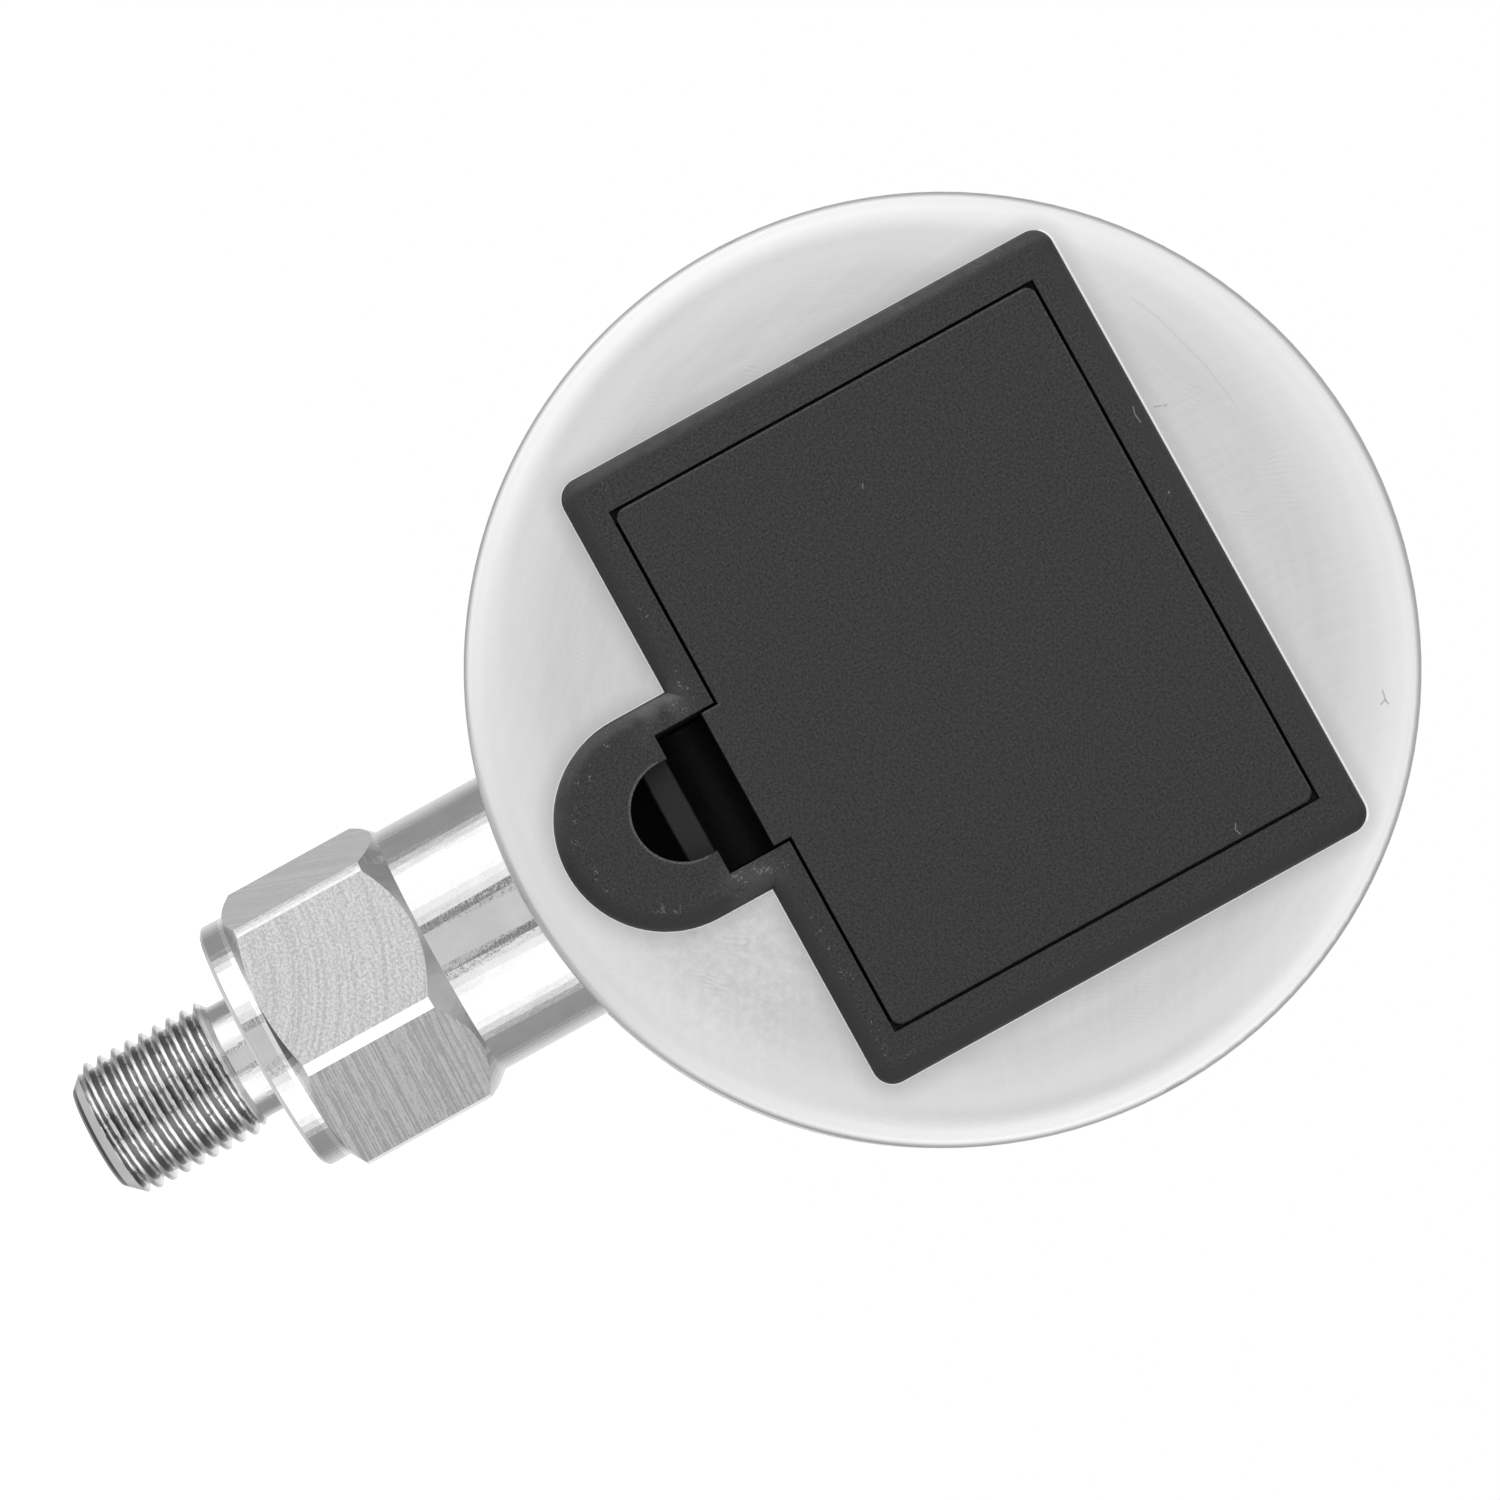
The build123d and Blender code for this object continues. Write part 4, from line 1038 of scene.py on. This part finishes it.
outer = profile.smallest(relief).smallest(tip)
on_port = (row < 0.5) + (row > sizes["Rows"] + 1.5)
radius = outer * (1.0 - on_port) + sizes["Port radius"] * on_port
last = row > sizes["Rows"] + 2.5
height = height * (1.0 - last) - sizes["Top"] * last
angle = turn * math.tau
spot = graph.join(radius * angle.math("COSINE") * mm, radius * angle.math("SINE") * mm, height * mm)
wrapped = graph.node("GeometryNodeSetPosition", None, {"Geometry": grid, "Position": spot})
weld_values = {"Geometry": wrapped, "Distance": weld_distance * mm}
welded = graph.node("GeometryNodeMergeByDistance", None, weld_values)
end_group(graph, welded, finishes["turned_steel"])
thread = run_group("screw_thread", graph, thread_sizes, finishes["turned_steel"])
print("thread", len(thread.data.vertices), "points")

# %% [markdown]
# The rest of the stem is already right in the CAD model. So a copy of its mesh is cut off in the relief
# groove, closed, and joined to the new stub. Together they stand for the CAD node.

# %% Join the thread to the stem
seam_distance = 0.0002
cut_overlap = 0.02


def face_outwards(mesh):
    """Merges doubled points, then points the faces outwards."""
    shape = bmesh.new()
    shape.from_mesh(mesh)
    bmesh.ops.remove_doubles(shape, verts=shape.verts, dist=seam_distance * mm)
    bmesh.ops.recalc_face_normals(shape, faces=shape.faces)
    shape.to_mesh(mesh)
    shape.free()


stem_mesh = parts["pressure_connector"].data.copy()
shape = bmesh.new()
shape.from_mesh(stem_mesh)
bmesh.ops.remove_doubles(shape, verts=shape.verts, dist=weld_distance * mm)
everything = shape.verts[:] + shape.edges[:] + shape.faces[:]
plane = {"plane_co": Vector((0, 0, -thread_top - cut_overlap)) * mm, "plane_no": (0, 0, -1)}
cut = bmesh.ops.bisect_plane(shape, geom=everything, clear_outer=True, **plane)
rim = [item for item in cut["geom_cut"] if isinstance(item, bmesh.types.BMEdge)]
bmesh.ops.bridge_loops(shape, edges=rim)
shape.to_mesh(stem_mesh)
shape.free()
stem = bpy.data.objects.new("threaded_connector", stem_mesh)
bpy.context.scene.collection.objects.link(stem)
face_outwards(stem_mesh)
face_outwards(thread.data)
for polygon in stem_mesh.polygons:
    polygon.use_smooth = False
with bpy.context.temp_override(active_object=stem, selected_editable_objects=[stem, thread]):
    bpy.ops.object.join()
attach(stem, "gauge")
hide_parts("pressure_connector")
print("stem", len(stem.data.polygons), "faces")

# %% [markdown]
# ## Contact springs
# Each cell is pushed by a coil spring. A spiral curve with a round section is the rule for one of them, and
# Geometry Nodes set it on three points, turned to face the cell, because every second cell lies the other
# way round.

# %% Springs by Geometry Nodes
spring_names = ["contact_spring_lower", "contact_spring_middle", "contact_spring_upper"]
spring_boxes = [box_mm(name) for name in spring_names]
first_low, first_high = spring_boxes[0]
spring_pitch = spring_boxes[1][0].z - first_low.z
wire_radius = 0.35
coil_taper = 0.9
spring_sizes = {
    "Count": (WHOLE, len(spring_names)),
    "Spacing": (REAL, spring_pitch),
    "Reach": (REAL, -first_low.x - wire_radius),
    "Depth": (REAL, (first_low.y + first_high.y) / 2),
    "Lowest": (REAL, (first_low.z + first_high.z) / 2),
    "Coil radius": (REAL, (first_high.z - first_low.z) / 2 - wire_radius),
    "Wire radius": (REAL, wire_radius),
    "Height": (REAL, first_high.x - first_low.x - 2 * wire_radius),
    "Turns": (REAL, 2.5),
}
graph, sizes = node_group("contact_springs", spring_sizes)
number = graph.node("GeometryNodeInputIndex")
way = 1.0 - number.math("FLOORED_MODULO", 2.0) * 2.0
points = graph.node("GeometryNodeMeshLine", None, {"Count": sizes["Count"]})
seat_x = way * sizes["Reach"] * -mm
seat = graph.join(seat_x, sizes["Depth"] * mm, (sizes["Lowest"] + number * sizes["Spacing"]) * mm)
points = graph.node("GeometryNodeSetPosition", None, {"Geometry": points, "Position": seat})
spiral_values = {
    "Resolution": 28,
    "Rotations": sizes["Turns"],
    "Start Radius": sizes["Coil radius"] * mm,
    "End Radius": sizes["Coil radius"] * (coil_taper * mm),
    "Height": sizes["Height"] * mm,
}
spiral = graph.node("GeometryNodeCurveSpiral", None, spiral_values)
round_values = {"Resolution": 10, "Radius": sizes["Wire radius"] * mm}
section = graph.node("GeometryNodeCurvePrimitiveCircle", None, round_values)
coil_values = {"Curve": spiral, "Profile Curve": section, "Fill Caps": True}
coil = graph.node("GeometryNodeCurveToMesh", None, coil_values)
turned = graph.join(0.0, way * (math.pi / 2), 0.0)
set_values = {"Points": points, "Instance": coil, "Rotation": turned}
placed = graph.node("GeometryNodeInstanceOnPoints", None, set_values)
end_group(graph, placed, finishes["nickel_contact"])
springs = run_group("contact_coils", graph, spring_sizes, finishes["nickel_contact"])
face_outwards(springs.data)
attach(springs, "gauge")
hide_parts(*spring_names)
print("springs", len(springs.data.vertices), "points")

# %% [markdown]
# ## Digits of the display
# A liquid crystal display has seven bars for each digit and darkens some of them. A bar is a flat plate
# with pointed ends, and a list with the bars' letters says which ones each digit from 0 to 9 uses. The
# plates lean a little, as such digits do, and lie on the front of the display's glass.

# %% Bars of a digit
reading = "0.00"
digit_height = 13.0
digit_width = 7.0
digit_step = 10.6
bar_width = 1.5
bar_gap = 0.12
bar_lean = 0.10
ink_depth = 0.06
glass_low, glass_high = box_mm("display_glass_cell")
half_height = digit_height / 2
bars = {
    "a": ((0, digit_height), (digit_width, digit_height)),
    "b": ((digit_width, digit_height), (digit_width, half_height)),
    "c": ((digit_width, half_height), (digit_width, 0)),
    "d": ((0, 0), (digit_width, 0)),
    "e": ((0, half_height), (0, 0)),
    "f": ((0, digit_height), (0, half_height)),
    "g": ((0, half_height), (digit_width, half_height)),
}
bars_of = ["abcdef", "bc", "abged", "abgcd", "fgbc", "afgcd", "afgedc", "abc", "abcdefg", "abcdfg"]
print("bars", len(bars), "digits", len(bars_of))

# %% [markdown]
# The bars are built as plates in one mesh, from left to right. The point between two digits is a small
# square plate on their foot line.

# %% Digits


@finish("display_ink")
def display_ink(graph):
    shade = graph.noise(graph.place(), 0.6, 1.0)
    close_finish(graph, graph.mix(shade, grey(0.012), grey(0.02)), 0.35)


def plate(shape, outline, left):
    """Adds a thin plate with this outline, leaning as the digits do."""
    layers = []
    for y in (glass_low.y - ink_depth, glass_low.y):
        spots = [(x + z * bar_lean + left, y, z + digit_foot) for x, z in outline]
        layers.append([shape.verts.new(Vector(spot) * mm) for spot in spots])
    front, rear = layers
    shape.faces.new(front)
    shape.faces.new(rear[::-1])
    for number in range(len(outline)):
        before = number - 1
        shape.faces.new((front[before], rear[before], rear[number], front[number]))


def bar_outline(start, end):
    """The six corners of a bar with pointed ends."""
    start, end = Vector(start), Vector(end)
    way = (end - start).normalized()
    side = Vector((-way.y, way.x)) * bar_width / 2
    start, end = start + way * bar_gap, end - way * bar_gap
    tip = way * bar_width / 2
    return [start, start + tip + side, end - tip + side, end, end - tip - side, start + tip - side]


digit_foot = (glass_low.z + glass_high.z) / 2 - half_height
row_width = digit_step * (len(reading.replace(".", "")) - 1) + digit_width
left = -row_width / 2 - half_height * bar_lean
shape = bmesh.new()
for sign in reading:
    if sign == ".":
        dot_left = (digit_width - digit_step - bar_width) / 2
        dot = [(0, 0), (bar_width, 0), (bar_width, bar_width), (0, bar_width)]
        plate(shape, [(x + dot_left, z - bar_width / 2) for x, z in dot], left)
        continue
    for letter in bars_of[int(sign)]:
        plate(shape, bar_outline(*bars[letter]), left)
    left += digit_step
bmesh.ops.recalc_face_normals(shape, faces=shape.faces)
digits_mesh = bpy.data.meshes.new("display_digits")
shape.to_mesh(digits_mesh)
shape.free()
digits_mesh.materials.append(finishes["display_ink"])
digits = bpy.data.objects.new("display_digits", digits_mesh)
bpy.context.scene.collection.objects.link(digits)
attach(digits, "gauge")
print("digits", len(digits_mesh.polygons), "faces")
